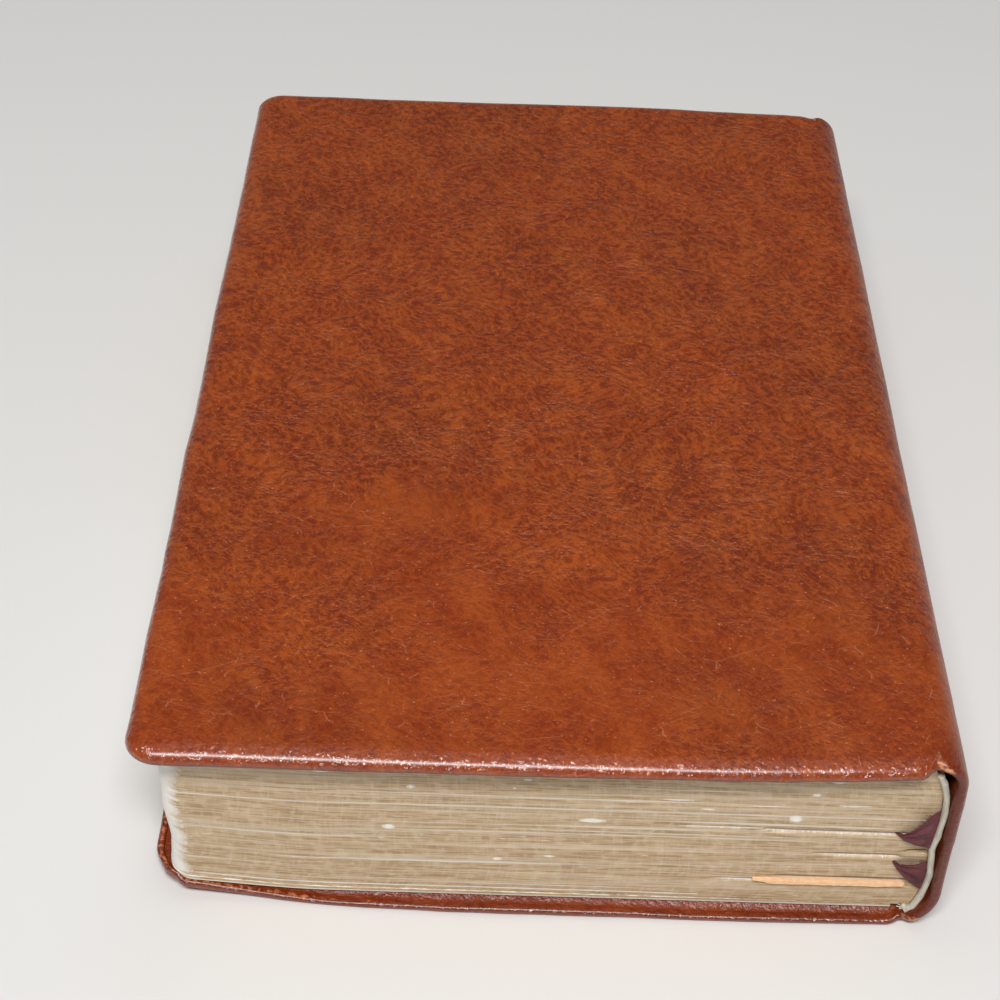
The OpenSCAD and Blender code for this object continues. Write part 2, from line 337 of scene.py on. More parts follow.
class Wiring:
    """Places nodes in a shader tree and joins their sockets."""

    def __init__(self, tree: bpy.types.NodeTree) -> None:
        """Work in tree."""
        self.tree = tree

    def place(self, kind: str, inputs: dict | None = None, **settings: object) -> bpy.types.Node:
        """New node.

        Args:
            kind: Blender's name for the node.
            inputs: Values or sockets by the name or number of the input that they feed.
            **settings: Properties of the node.

        Returns:
            The node.
        """
        node = self.tree.nodes.new(kind)
        for name, value in settings.items():
            setattr(node, name, value)
        for key, value in (inputs or {}).items():
            if isinstance(value, Socket):
                self.tree.links.new(value, node.inputs[key])
            else:
                node.inputs[key].default_value = value
        return node

    def math(self, operation: str, *values: Socket | float) -> Socket:
        """Result of a Math node with these values."""
        return self.place("ShaderNodeMath", dict(enumerate(values)), operation=operation).outputs[0]

    def scaled(self, vector: Socket, factors: tuple[float, float, float]) -> Socket:
        """Vector with each part multiplied by its factor."""
        node = self.place("ShaderNodeVectorMath", {0: vector, 1: factors}, operation="MULTIPLY")
        return node.outputs[0]

    def shifted(self, vector: Socket, offset: Socket) -> Socket:
        """Sum of two vectors."""
        return self.place("ShaderNodeVectorMath", {0: vector, 1: offset}, operation="ADD").outputs[0]

    def ramp(self, value: Socket, low: float, high: float) -> Socket:
        """Value eased from 0 at low to 1 at high."""
        inputs = {"Value": value, "From Min": low, "From Max": high}
        node = self.place("ShaderNodeMapRange", inputs, interpolation_type="SMOOTHSTEP")
        return node.outputs["Result"]

    def noise(self, vector: Socket, per_mm: float, detail: float = 2.0, dimensions: str = "2D") -> Socket:
        """Noise with per_mm cells to a millimetre, on the skin or in space."""
        inputs = {"Vector": vector, "Scale": per_mm / MM, "Detail": detail}
        return self.place("ShaderNodeTexNoise", inputs, noise_dimensions=dimensions).outputs["Fac"]

    def turned(self, vector: Socket, degrees: float) -> Socket:
        """Vector turned about Z."""
        rotation = (0.0, 0.0, math.radians(degrees))
        return self.place("ShaderNodeMapping", {"Vector": vector, "Rotation": rotation}).outputs[0]

    def tint(self, share: Socket | float, first: Socket | Colour, second: Socket | Colour) -> Socket:
        """Colour that goes from first to second as share goes from 0 to 1."""
        # The colour sockets of a Mix node share their names with its others, so they go by number.
        inputs = {0: share, 6: self.solid(first), 7: self.solid(second)}
        return self.place("ShaderNodeMix", inputs, data_type="RGBA").outputs[2]

    @staticmethod
    def solid(colour: Socket | Colour) -> Socket | tuple[float, float, float, float]:
        """Colour with an alpha of 1, or the socket as it is."""
        return colour if isinstance(colour, Socket) else (*colour, 1.0)

    def painted(self, channel: str) -> Socket:
        """Value painted on the mesh under that name."""
        return self.place("ShaderNodeAttribute", attribute_name=channel).outputs["Fac"]

    def skin(self) -> Socket:
        """Place on the piece's own UV map, in metres."""
        return self.place("ShaderNodeUVMap", uv_map=SKIN_UV).outputs["UV"]

    def in_space(self) -> Socket:
        """Place in the object's own space, in metres."""
        return self.place("ShaderNodeTexCoord").outputs["Object"]

    def relief(self, height: Socket, depth: float) -> Socket:
        """Normal of a relief that is depth millimetres deep."""
        inputs = {"Height": height, "Distance": depth * MM, "Strength": 1.0}
        return self.place("ShaderNodeBump", inputs).outputs["Normal"]

    def group(self, effect: bpy.types.NodeTree, **inputs: object) -> bpy.types.Node:
        """Effect placed with its own values, where an underscore in a name stands for a space."""
        node = self.place("ShaderNodeGroup", node_tree=effect)
        for name, value in inputs.items():
            socket = node.inputs[name.replace("_", " ").title()]
            if isinstance(value, Socket):
                self.tree.links.new(value, socket)
            else:
                socket.default_value = value
        return node


class Effect:
    """Shader node groups that the finishes use. Each is built once, when it is first asked for."""

    @staticmethod
    def start(
        name: str, inputs: dict[str, str], outputs: list[str]
    ) -> tuple[Wiring, dict[str, Socket], dict[str, Socket]]:
        """New group with its sockets.

        Args:
            name: Name of the group.
            inputs: Kind of socket, Float or Vector, for each input's name.
            outputs: Names of the outputs, which are all values.

        Returns:
            Its wiring, its inputs as sockets to read from, and its outputs as sockets to feed.
        """
        tree = bpy.data.node_groups.new(name, "ShaderNodeTree")
        for title, kind in inputs.items():
            tree.interface.new_socket(title, in_out="INPUT", socket_type=f"NodeSocket{kind}")
        for title in outputs:
            tree.interface.new_socket(title, in_out="OUTPUT", socket_type="NodeSocketFloat")
        wiring = Wiring(tree)
        entry, leave = wiring.place("NodeGroupInput"), wiring.place("NodeGroupOutput")
        fed = {title: leave.inputs[title] for title in outputs}
        return wiring, {title: entry.outputs[title] for title in inputs}, fed

    @classmethod
    def bent(
        cls, w: Wiring, vector: Socket, per_metre: Socket, often: float, reach: Socket | float
    ) -> Socket:
        """Vector moved by noise that swings often times in a cell and reaches as far as reach cells."""
        inputs = {"Vector": vector, "Scale": w.math("MULTIPLY", per_metre, often)}
        sway = w.place("ShaderNodeTexNoise", inputs, noise_dimensions="2D")
        inputs = {0: sway.outputs["Color"], 1: (0.5, 0.5, 0.5)}
        offset = w.place("ShaderNodeVectorMath", inputs, operation="SUBTRACT")
        inputs = {0: offset.outputs[0], "Scale": w.math("DIVIDE", reach, per_metre)}
        return w.shifted(vector, w.place("ShaderNodeVectorMath", inputs, operation="SCALE").outputs[0])

    @classmethod
    @cache
    def net(cls) -> bpy.types.NodeTree:
        """Net of lines that breaks off in places.

        Its meshes are Cell metres wide and its lines Width metres. Sway bends them, and Gaps leaves more out.
        """
        kinds = {"Vector": "Vector", "Cell": "Float", "Width": "Float", "Sway": "Float", "Gaps": "Float"}
        w, inputs, outputs = cls.start("Broken net", kinds, ["Lines"])
        per_metre = w.math("DIVIDE", 1.0, inputs["Cell"])
        bent = cls.bent(w, inputs["Vector"], per_metre, 0.9, inputs["Sway"])
        shape = {"voronoi_dimensions": "2D", "feature": "DISTANCE_TO_EDGE"}
        border = w.place("ShaderNodeTexVoronoi", {"Vector": bent, "Scale": per_metre}, **shape)
        often = w.math("MULTIPLY", per_metre, 0.8)
        patches = {"Vector": inputs["Vector"], "Scale": often, "Detail": 4.0}
        broken = w.place("ShaderNodeTexNoise", patches, noise_dimensions="2D")
        away = w.math("DIVIDE", border.outputs["Distance"], w.math("MULTIPLY", inputs["Width"], per_metre))
        line = w.math("SUBTRACT", 1.0, w.ramp(away, 0.1, 0.9))
        there = w.ramp(w.math("SUBTRACT", broken.outputs["Fac"], inputs["Gaps"]), 0.0, 0.1)
        w.tree.links.new(w.math("MULTIPLY", line, there), outputs["Lines"])
        return w.tree

    @classmethod
    @cache
    def creases(cls) -> bpy.types.NodeTree:
        """Creased skin: soft swellings about Cell metres wide along a flow, and thin lines round them."""
        kinds = {"Vector": "Vector", "Cell": "Float", "Gaps": "Float"}
        w, inputs, outputs = cls.start("Creases", kinds, ["Lines", "Swell"])
        per_metre = w.math("DIVIDE", 1.0, inputs["Cell"])
        slow = w.math("MULTIPLY", per_metre, 0.07)
        flow = cls.bent(w, inputs["Vector"], slow, often=1.0, reach=0.6)
        long_way = w.scaled(w.turned(flow, 47.0), (0.8, 1.0, 1.0))
        values = {"Vector": long_way, "Scale": per_metre, "Detail": 3.0, "Roughness": 0.6}
        skin = w.place("ShaderNodeTexNoise", values, noise_dimensions="2D").outputs["Fac"]
        border = w.math("ABSOLUTE", w.math("SUBTRACT", skin, 0.5))
        often = w.math("MULTIPLY", per_metre, 0.35)
        patches = {"Vector": inputs["Vector"], "Scale": often, "Detail": 4.0}
        broken = w.place("ShaderNodeTexNoise", patches, noise_dimensions="2D").outputs["Fac"]
        there = w.ramp(w.math("SUBTRACT", broken, inputs["Gaps"]), 0.0, 0.12)
        line = w.math("SUBTRACT", 1.0, w.ramp(border, 0.004, 0.03))
        w.tree.links.new(w.math("MULTIPLY", line, there), outputs["Lines"])
        w.tree.links.new(w.ramp(skin, 0.32, 0.68), outputs["Swell"])
        return w.tree

    @classmethod
    @cache
    def wear(cls) -> bpy.types.NodeTree:
        """Rubbed places: Amount decides how much is rubbed, and noise of about Size metres breaks it up."""
        kinds = {"Vector": "Vector", "Amount": "Float", "Size": "Float"}
        w, inputs, outputs = cls.start("Rubbed", kinds, ["Mask"])
        per_metre = w.math("DIVIDE", 1.0, inputs["Size"])
        noise = {"Vector": inputs["Vector"], "Scale": per_metre, "Detail": 5.0, "Roughness": 0.65}
        patchy = w.place("ShaderNodeTexNoise", noise, noise_dimensions="2D")
        reach = w.math("ADD", patchy.outputs["Fac"], w.math("MULTIPLY", inputs["Amount"], 0.62))
        rubbed = w.math("MULTIPLY", w.ramp(reach, 0.74, 0.9), w.ramp(inputs["Amount"], 0.02, 0.2))
        w.tree.links.new(rubbed, outputs["Mask"])
        return w.tree

    @classmethod
    @cache
    def streaks(cls) -> bpy.types.NodeTree:
        """Leaf edges: lines Leaf metres thick along the first UV coordinate, and wider and rarer ones."""
        sorts = (("Fine", 0.04, 1.0, 2.0), ("Broad", 0.012, 0.3, 3.0), ("Rare", 0.006, 0.42, 1.0))
        kinds = {"Vector": "Vector", "Leaf": "Float"}
        w, inputs, outputs = cls.start("Leaf edges", kinds, [title for title, *_ in sorts])
        per_metre = w.math("DIVIDE", 1.0, inputs["Leaf"])
        for title, length, share, detail in sorts:
            long_way = w.scaled(inputs["Vector"], (length, 1.0, 1.0))
            values = {"Vector": long_way, "Scale": w.math("MULTIPLY", per_metre, share), "Detail": detail}
            lines = w.place("ShaderNodeTexNoise", values, noise_dimensions="2D")
            w.tree.links.new(lines.outputs["Fac"], outputs[title])
        return w.tree

    @classmethod
    @cache
    def weave(cls) -> bpy.types.NodeTree:
        """Plain weave with threads of Thread metres, from two crossed rows of waves."""
        w, inputs, outputs = cls.start("Weave", {"Vector": "Vector", "Thread": "Float"}, ["Height"])
        parts = w.place("ShaderNodeSeparateXYZ", {0: inputs["Vector"]})
        turn = w.math("DIVIDE", math.pi, inputs["Thread"])
        waves = [w.math("SINE", w.math("MULTIPLY", parts.outputs[axis], turn)) for axis in ("X", "Y")]
        w.tree.links.new(w.math("ABSOLUTE", w.math("MULTIPLY", waves[0], waves[1])), outputs["Height"])
        return w.tree


def new_material(name: str) -> tuple[bpy.types.Material, Wiring, bpy.types.Node]:
    """Material with a bare Principled shader.

    Args:
        name: Name of the material.

    Returns:
        The material, its wiring and its shader.
    """
    material = bpy.data.materials.new(name)
    material.use_nodes = True
    wiring = Wiring(material.node_tree)
    return material, wiring, material.node_tree.nodes["Principled BSDF"]


@dataclass(frozen=True)
class GlazedLeather:
    """Reddish-brown glazed leather: hollows darkened by painted shade, swellings lightened by painted
    highlight, pale creases that are partly painted highlight, hairlines and worn places.

    The strengths of hollows, swellings, creases, hairlines and relief go from their first value at the
    head to their second where the grain is strong.
    """

    name: str = "Glazed leather"
    deep: Colour = (0.115, 0.011, 0.001)
    body: Colour = (0.262, 0.032, 0.001)
    light: Colour = (0.54, 0.112, 0.012)
    hairline: Colour = (0.66, 0.27, 0.14)
    copper: Colour = (0.58, 0.19, 0.075)
    bare: Colour = (0.80, 0.42, 0.22)
    crease_mm: tuple[float, float] = (1.3, 2.3)
    nets_mm: tuple[tuple[float, float], ...] = ((2.0, 0.24), (3.4, 0.3))
    hairlines_mm: tuple[tuple[float, float], ...] = ((3.4, 0.07), (5.0, 0.085))
    hollows: tuple[float, float] = (0.2, 0.46)
    swellings: tuple[float, float] = (0.1, 0.26)
    creases: tuple[float, float] = (0.26, 0.42)
    hairlines: tuple[float, float] = (0.38, 0.23)
    relief: tuple[float, float] = (0.5, 1.0)
    smooth_y: tuple[float, float] = (-105.0, -35.0)
    patch_mm: float = 170.0
    rough: float = 0.33
    polish: float = 0.19
    relief_mm: float = 0.28
    coat: float = 0.85
    coat_rough: float = 0.25

    @staticmethod
    def graded(w: Wiring, mask: Socket, crushed: Socket, ends: tuple[float, float]) -> Socket:
        """Mask times a strength that goes from the first of ends to the second as crushed rises."""
        return w.math("MULTIPLY", mask, w.math("MULTIPLY_ADD", crushed, ends[1] - ends[0], ends[0]))

    @staticmethod
    def lines(
        w: Wiring, skin: Socket, sizes: tuple[tuple[float, float], ...], turns: tuple[float, ...],
        draw: float, sway: float, gaps: float,
    ) -> Socket:
        """Two broken nets laid over each other.

        Args:
            w: Wiring of the material.
            skin: Place on the skin.
            sizes: Mesh and line width of each net, in millimetres.
            turns: Turn of each net, in degrees.
            draw: Scale of each net along its turned X. Below 1 its meshes are drawn out that way.
            sway: How far the lines bend, in meshes.
            gaps: How much of the net is missing.

        Returns:
            1 on the lines.
        """
        return w.math("MAXIMUM", *[
            w.group(Effect.net(), vector=w.scaled(w.turned(skin, turn), (draw, 1.0, 1.0)), cell=cell * MM,
                    width=width * MM, sway=sway, gaps=gaps).outputs[0]
            for (cell, width), turn in zip(sizes, turns)
        ])

    def tone(self, w: Wiring, skin: Socket, crushed: Socket, creases: Socket, swell: Socket) -> Socket:
        """Colour of the unworn leather: clouds and spots, then the grain with painted shade in its hollows
        and painted highlight on its swellings, pale creases that are partly painted highlight, the hairlines,
        and pale specks that are partly painted glints.

        Args:
            w: Wiring of the material.
            skin: Place on the skin.
            crushed: 0 where the grain is faint, 1 where it is strong.
            creases: 1 on the crease lines.
            swell: 0 in a hollow, 1 on top of a swelling.

        Returns:
            The colour.
        """
        upright = w.scaled(w.turned(skin, -16.0), (1.0, 0.5, 1.0))
        clouds = w.ramp(w.noise(upright, 0.03, 4.0), 0.38, 0.66)
        spots = w.ramp(w.noise(upright, 0.12, 3.0), 0.38, 0.68)
        specks = w.ramp(w.noise(skin, 1.3, 1.0), 0.76, 0.80)
        low, high = w.ramp(swell, 0.6, 0.2), w.ramp(swell, 0.4, 0.9)
        hairlines = self.lines(w, skin, self.hairlines_mm, (10.0, -22.0), draw=0.32, sway=0.25, gaps=0.57)
        tone = w.tint(w.math("MULTIPLY", clouds, 0.62), self.body, w.tint(0.7, self.body, self.deep))
        tone = w.tint(w.math("MULTIPLY", spots, 0.3), tone, self.light)
        # Painted shade in the hollows and painted highlight on the swellings, following the relief.
        tone = w.tint(self.graded(w, low, crushed, self.hollows), tone, self.deep)
        tone = w.tint(self.graded(w, high, crushed, self.swellings), tone, self.light)
        # Pale crease lines: partly the leather's own pale creases, partly painted highlight.
        tone = w.tint(self.graded(w, creases, crushed, self.creases), tone, self.light)
        tone = w.tint(self.graded(w, hairlines, crushed, self.hairlines), tone, self.hairline)
        # Pale specks: partly the leather's own specks, partly painted glints.
        return w.tint(w.math("MULTIPLY", specks, 0.5), tone, self.hairline)

    def material(self) -> bpy.types.Material:
        """Grained leather, pebbled and glossy where that is painted, and rubbed to the hide by wear.

        The grain is strong towards the tail and faint at the head, where the hairlines show most.
        """
        material, w, shader = new_material(self.name)
        skin = w.skin()
        across = w.place("ShaderNodeSeparateXYZ", {0: skin}).outputs["Y"]
        patchy = w.math("MULTIPLY", w.math("SUBTRACT", w.noise(skin, 0.03, 3.0), 0.5), self.patch_mm * MM)
        crushed = w.ramp(w.math("ADD", across, patchy), self.smooth_y[0] * MM, self.smooth_y[1] * MM)
        fine, wide = (
            w.group(Effect.creases(), vector=skin, cell=cell * MM, gaps=gaps).outputs
            for cell, gaps in zip(self.crease_mm, (0.4, 0.46))
        )
        nets = self.lines(w, skin, self.nets_mm, (52.0, 30.0), draw=0.75, sway=0.9, gaps=0.42)
        folds = w.math("MAXIMUM", fine["Lines"], wide["Lines"])
        creases = w.math("MAXIMUM", w.math("MULTIPLY", nets, 0.75), folds)
        swell = w.math("MULTIPLY_ADD", wide["Swell"], 0.42, w.math("MULTIPLY", fine["Swell"], 0.58))
        worn, pebble = w.painted("wear"), w.painted("pebble")
        rubbed = w.group(Effect.wear(), vector=skin, amount=worn, size=1.3 * MM).outputs["Mask"]
        hide = w.tint(w.ramp(worn, 0.5, 1.0), self.copper, self.bare)
        # Painted shade under the turned edge, inside the turn-ins and at the spine's cap.
        tone = w.tint(w.painted("shade"), self.tone(w, skin, crushed, creases, swell), self.deep)
        tone = w.tint(w.math("MULTIPLY", rubbed, 0.9), tone, hide)
        height = self.graded(w, w.math("MULTIPLY_ADD", creases, 0.2, swell), crushed, self.relief)
        height = w.math("MULTIPLY", height, w.math("MULTIPLY_ADD", pebble, -0.85, 1.0))
        bumps = w.math("MULTIPLY", w.math("MULTIPLY", w.noise(skin, 0.8, 1.0), pebble), 2.4)
        height = w.math("SUBTRACT", w.math("ADD", height, bumps), w.math("MULTIPLY", rubbed, 0.3))
        rough = w.math("MULTIPLY_ADD", pebble, self.polish - self.rough, self.rough)
        w.tree.links.new(tone, shader.inputs["Base Color"])
        w.tree.links.new(w.math("MULTIPLY_ADD", rubbed, 0.4, rough), shader.inputs["Roughness"])
        w.tree.links.new(w.relief(height, self.relief_mm), shader.inputs["Normal"])
        w.tree.links.new(w.math("MULTIPLY", pebble, self.coat), shader.inputs["Coat Weight"])
        shader.inputs["Coat Roughness"].default_value = self.coat_rough
        return material


@dataclass(frozen=True)
class WornGilt:
    """Edges of leaves with worn gilt: dull gold, thin pale leaf lines, and bare paper where painted."""

    name: str = "Worn gilt leaves"
    gold: Colour = (0.54, 0.385, 0.23)
    shade: Colour = (0.37, 0.245, 0.125)
    pale: Colour = (0.70, 0.57, 0.42)
    paper: Colour = (0.86, 0.83, 0.77)
    leaf_mm: float = 0.34
    metal: float = 0.08

    def tone(self, w: Wiring, skin: Socket) -> tuple[Socket, Socket]:
        """Colour and relief of the gilt: leaf lines of three kinds, short scratches across them, and dust."""
        lines = w.group(Effect.streaks(), vector=skin, leaf=self.leaf_mm * MM)
        tone = w.tint(w.ramp(lines.outputs["Fine"], 0.34, 0.6), self.shade, self.gold)
        tone = w.tint(w.math("MULTIPLY", w.ramp(lines.outputs["Broad"], 0.46, 0.7), 0.5), tone, self.pale)
        tone = w.tint(w.math("MULTIPLY", w.ramp(lines.outputs["Rare"], 0.66, 0.74), 0.5), tone, self.paper)
        crossing = w.ramp(w.noise(w.scaled(skin, (1.0, 0.06, 1.0)), 2.2, 2.0), 0.55, 0.72)
        tone = w.tint(w.math("MULTIPLY", crossing, 0.2), tone, self.pale)
        dust = w.ramp(w.noise(skin, 0.5, 6.0), 0.46, 0.7)
        tone = w.tint(w.math("MULTIPLY", dust, 0.35), tone, self.pale)
        flecks = w.ramp(w.noise(w.scaled(skin, (0.12, 1.0, 1.0)), 2.2, 3.0), 0.7, 0.78)
        return w.tint(w.math("MULTIPLY", flecks, 0.5), tone, self.paper), lines.outputs["Fine"]

    def material(self) -> bpy.types.Material:
        """Gilt, with painted values that bare the paper, and painted shade in the slits between leaves."""
        material, w, shader = new_material(self.name)
        skin = w.skin()
        tone, height = self.tone(w, skin)
        rubbed = w.group(Effect.wear(), vector=skin, amount=w.painted("bare"), size=0.7 * MM).outputs["Mask"]
        bare = w.math("MAXIMUM", w.math("MULTIPLY", rubbed, 0.6), w.ramp(w.painted("bare"), 0.25, 0.95))
        tone = w.tint(bare, tone, self.paper)
        dark = tuple(value * 0.2 for value in self.shade)
        # Painted shade in the slits between leaves.
        tone = w.tint(w.math("MULTIPLY", w.painted("slit_shade"), 0.8), tone, dark)
        w.tree.links.new(tone, shader.inputs["Base Color"])
        metal = w.math("MULTIPLY", w.math("SUBTRACT", 1.0, bare), self.metal)
        w.tree.links.new(metal, shader.inputs["Metallic"])
        shader.inputs["Roughness"].default_value = 0.55
        w.tree.links.new(w.relief(height, 0.08), shader.inputs["Normal"])
        return material


@dataclass(frozen=True)
class Paper:
    """Wove paper, gilt on the edges of a stack where that is painted."""

    name: str
    sheet: Colour
    stain: Colour

    def material(self) -> bpy.types.Material:
        """Fibres mottle the sheet, and the gilt of the leaves covers what is painted."""
        material, w, shader = new_material(self.name)
        space = w.in_space()
        fibres = w.ramp(w.noise(space, 1.6, 5.0, "3D"), 0.3, 0.75)
        foxing = w.ramp(w.noise(space, 0.05, 4.0, "3D"), 0.5, 0.8)
        tone = w.tint(w.math("MULTIPLY", fibres, 0.3), self.sheet, self.stain)
        tone = w.tint(w.math("MULTIPLY", foxing, 0.4), tone, self.stain)
        gilt, lines = WornGilt().tone(w, w.skin())
        tone = w.tint(w.painted("gilt"), tone, gilt)
        w.tree.links.new(tone, shader.inputs["Base Color"])
        shader.inputs["Roughness"].default_value = 0.75
        height = w.math("ADD", w.math("MULTIPLY", fibres, 0.3), w.math("MULTIPLY", lines, 0.5))
        w.tree.links.new(w.relief(height, 0.06), shader.inputs["Normal"])
        return material


@dataclass(frozen=True)
class WovenCloth:
    """Cloth with a plain weave, dirtied in patches, with painted shade between its threads."""

    name: str
    tone: Colour
    soil_and_weave_shade: Colour
    thread_mm: float = 0.28
    rough: float = 0.8

    def material(self) -> bpy.types.Material:
        """Painted shade darkens the cloth between the threads of the weave, and patches of it are dirtied."""
        material, w, shader = new_material(self.name)
        place = w.skin()
        weave = w.group(Effect.weave(), vector=place, thread=self.thread_mm * MM).outputs["Height"]
        soil = w.ramp(w.noise(w.scaled(place, (0.3, 1.0, 1.0)), 0.9, 4.0), 0.42, 0.72)
        tone = w.tint(w.math("MULTIPLY", soil, 0.7), self.tone, self.soil_and_weave_shade)
        # Painted shade between the threads of the weave.
        tone = w.tint(w.math("MULTIPLY", w.ramp(weave, 0.5, 0.05), 0.5), tone, self.soil_and_weave_shade)
        w.tree.links.new(tone, shader.inputs["Base Color"])
        shader.inputs["Roughness"].default_value = self.rough
        w.tree.links.new(w.relief(weave, 0.1), shader.inputs["Normal"])
        return material


@dataclass(frozen=True)
class Card:
    """Pulp card with a fibrous, matt surface."""

    name: str
    tone: Colour
    shade: Colour

    def material(self) -> bpy.types.Material:
        """Coarse and fine fibres mottle the card."""
        material, w, shader = new_material(self.name)
        space = w.in_space()
        pulp = w.ramp(w.noise(space, 0.9, 6.0, "3D"), 0.3, 0.7)
        w.tree.links.new(w.tint(pulp, self.tone, self.shade), shader.inputs["Base Color"])
        shader.inputs["Roughness"].default_value = 0.85
        w.tree.links.new(w.relief(pulp, 0.08), shader.inputs["Normal"])
        return material


@dataclass(frozen=True)
class SkinSection:
    """Line of the outer skin across the book: flat over a cover, round a bend, then along the spine.

    A point is named by its run, the length along that line from the fore-edge, and by its depth under
    the outer skin. inward is -1 where the inside of the skin lies below the cover, and 1 above it.
    """

    fore_x: float
    bend_x: float
    bend_r: float
    level: float
    inward: float

    @property
    def flat_run(self) -> float:
        """Run at which the bend starts."""
        return self.bend_x - self.fore_x

    @property
    def wall_run(self) -> float:
        """Run at which the wall of the spine starts."""
        return self.flat_run + self.bend_r * QUARTER

    def run_at(self, z: float) -> float:
        """Run on the wall of the spine at height z."""
        return self.wall_run + abs(z - self.level) - self.bend_r

    def place(self, run: Array, across: Array, depth: Array) -> Array:
        """Points of the skin.

        The turn a is what the run has past the flat, over bend_r, kept from 0 to a quarter turn. X is
        the flat run plus (bend_r - depth) * sin a. The fall from the level is bend_r less
        (bend_r - depth) * cos a, plus what the run has on the wall.

        Args:
            run: Length along the outer skin from the fore-edge.
            across: Y of each point.
            depth: Distance under the outer skin.

        Returns:
            The points, in millimetres.
        """
        turn = np.clip((run - self.flat_run) / self.bend_r, 0.0, QUARTER)
        x = self.fore_x + np.minimum(run, self.flat_run) + (self.bend_r - depth) * np.sin(turn)
        fall = self.bend_r - (self.bend_r - depth) * np.cos(turn) + np.maximum(run - self.wall_run, 0.0)
        return np.stack(np.broadcast_arrays(x, across, self.level + self.inward * fall), axis=-1)


@dataclass(frozen=True)
class TurnedEdge:
    """Section of the leather where it turns under at the edge of the hide.

    Each point is named by its inset, the distance in from the edge, and by its depth. The rows run from
    the outer sheet round the bend and down the leg to the middle of the rim, and back up inside.
    """

    inner_w: float = 0.8
    inner_r: float = 0.8
    lead: float = 0.15
    bend_rows: int = 9
    leg_rows: int = 3
    rim_rows: int = 5

    def rows(
        self, lip_h: Array, bend_h: Array, bend_w: Array, rim_t: Array, inner_t: Array
    ) -> tuple[Array, Array]:
        """Inset and depth of each row, for each column.

        The bend is a quarter oval. The leg goes down from it, the rim is two quarter ovals, and the inner
        side eases over to inner_t.

        Args:
            lip_h: Depth of the rim.
            bend_h: Height of the bend.
            bend_w: Width of the bend.
            rim_t: Thickness of the rim.
            inner_t: Thickness of the cover inside the edge.

        Returns:
            Insets and depths, one row for each step round the edge and one column for each column.
        """
        counts = (self.bend_rows, self.leg_rows, self.rim_rows)
        bend, leg, rim = ((np.arange(1, count + 1) / count)[:, None] for count in counts)
        sizes = (lip_h, bend_h, bend_w, rim_t / 2, inner_t)
        lip, down, wide, half, deep = (values[None, :] for values in sizes)
        outer = np.minimum(half, 0.8 * (lip - down))
        inner = np.clip(lip - deep, 0.0, half)
        rise = np.minimum(lip - inner - deep, self.inner_r)
        turn, round_rim, none = bend * QUARTER, rim * QUARTER, np.zeros_like(lip)
        inset = np.concatenate([
            wide * (1.0 - np.sin(turn)), none * leg,
            half * (1.0 - np.cos(round_rim)), half * (1.0 + np.sin(round_rim)),
            2.0 * half + self.lead * leg, 2.0 * half + self.lead + self.inner_w * bend,
        ])
        depth = np.concatenate([
            down * (1.0 - np.cos(turn)), mix(down, lip - outer, leg),
            lip - outer + outer * np.sin(round_rim), lip - inner + inner * np.cos(round_rim),
            mix(lip - inner, deep + rise, leg), deep + rise * (1.0 - ease(0.0, 1.0, bend)),
        ])
        return inset, depth


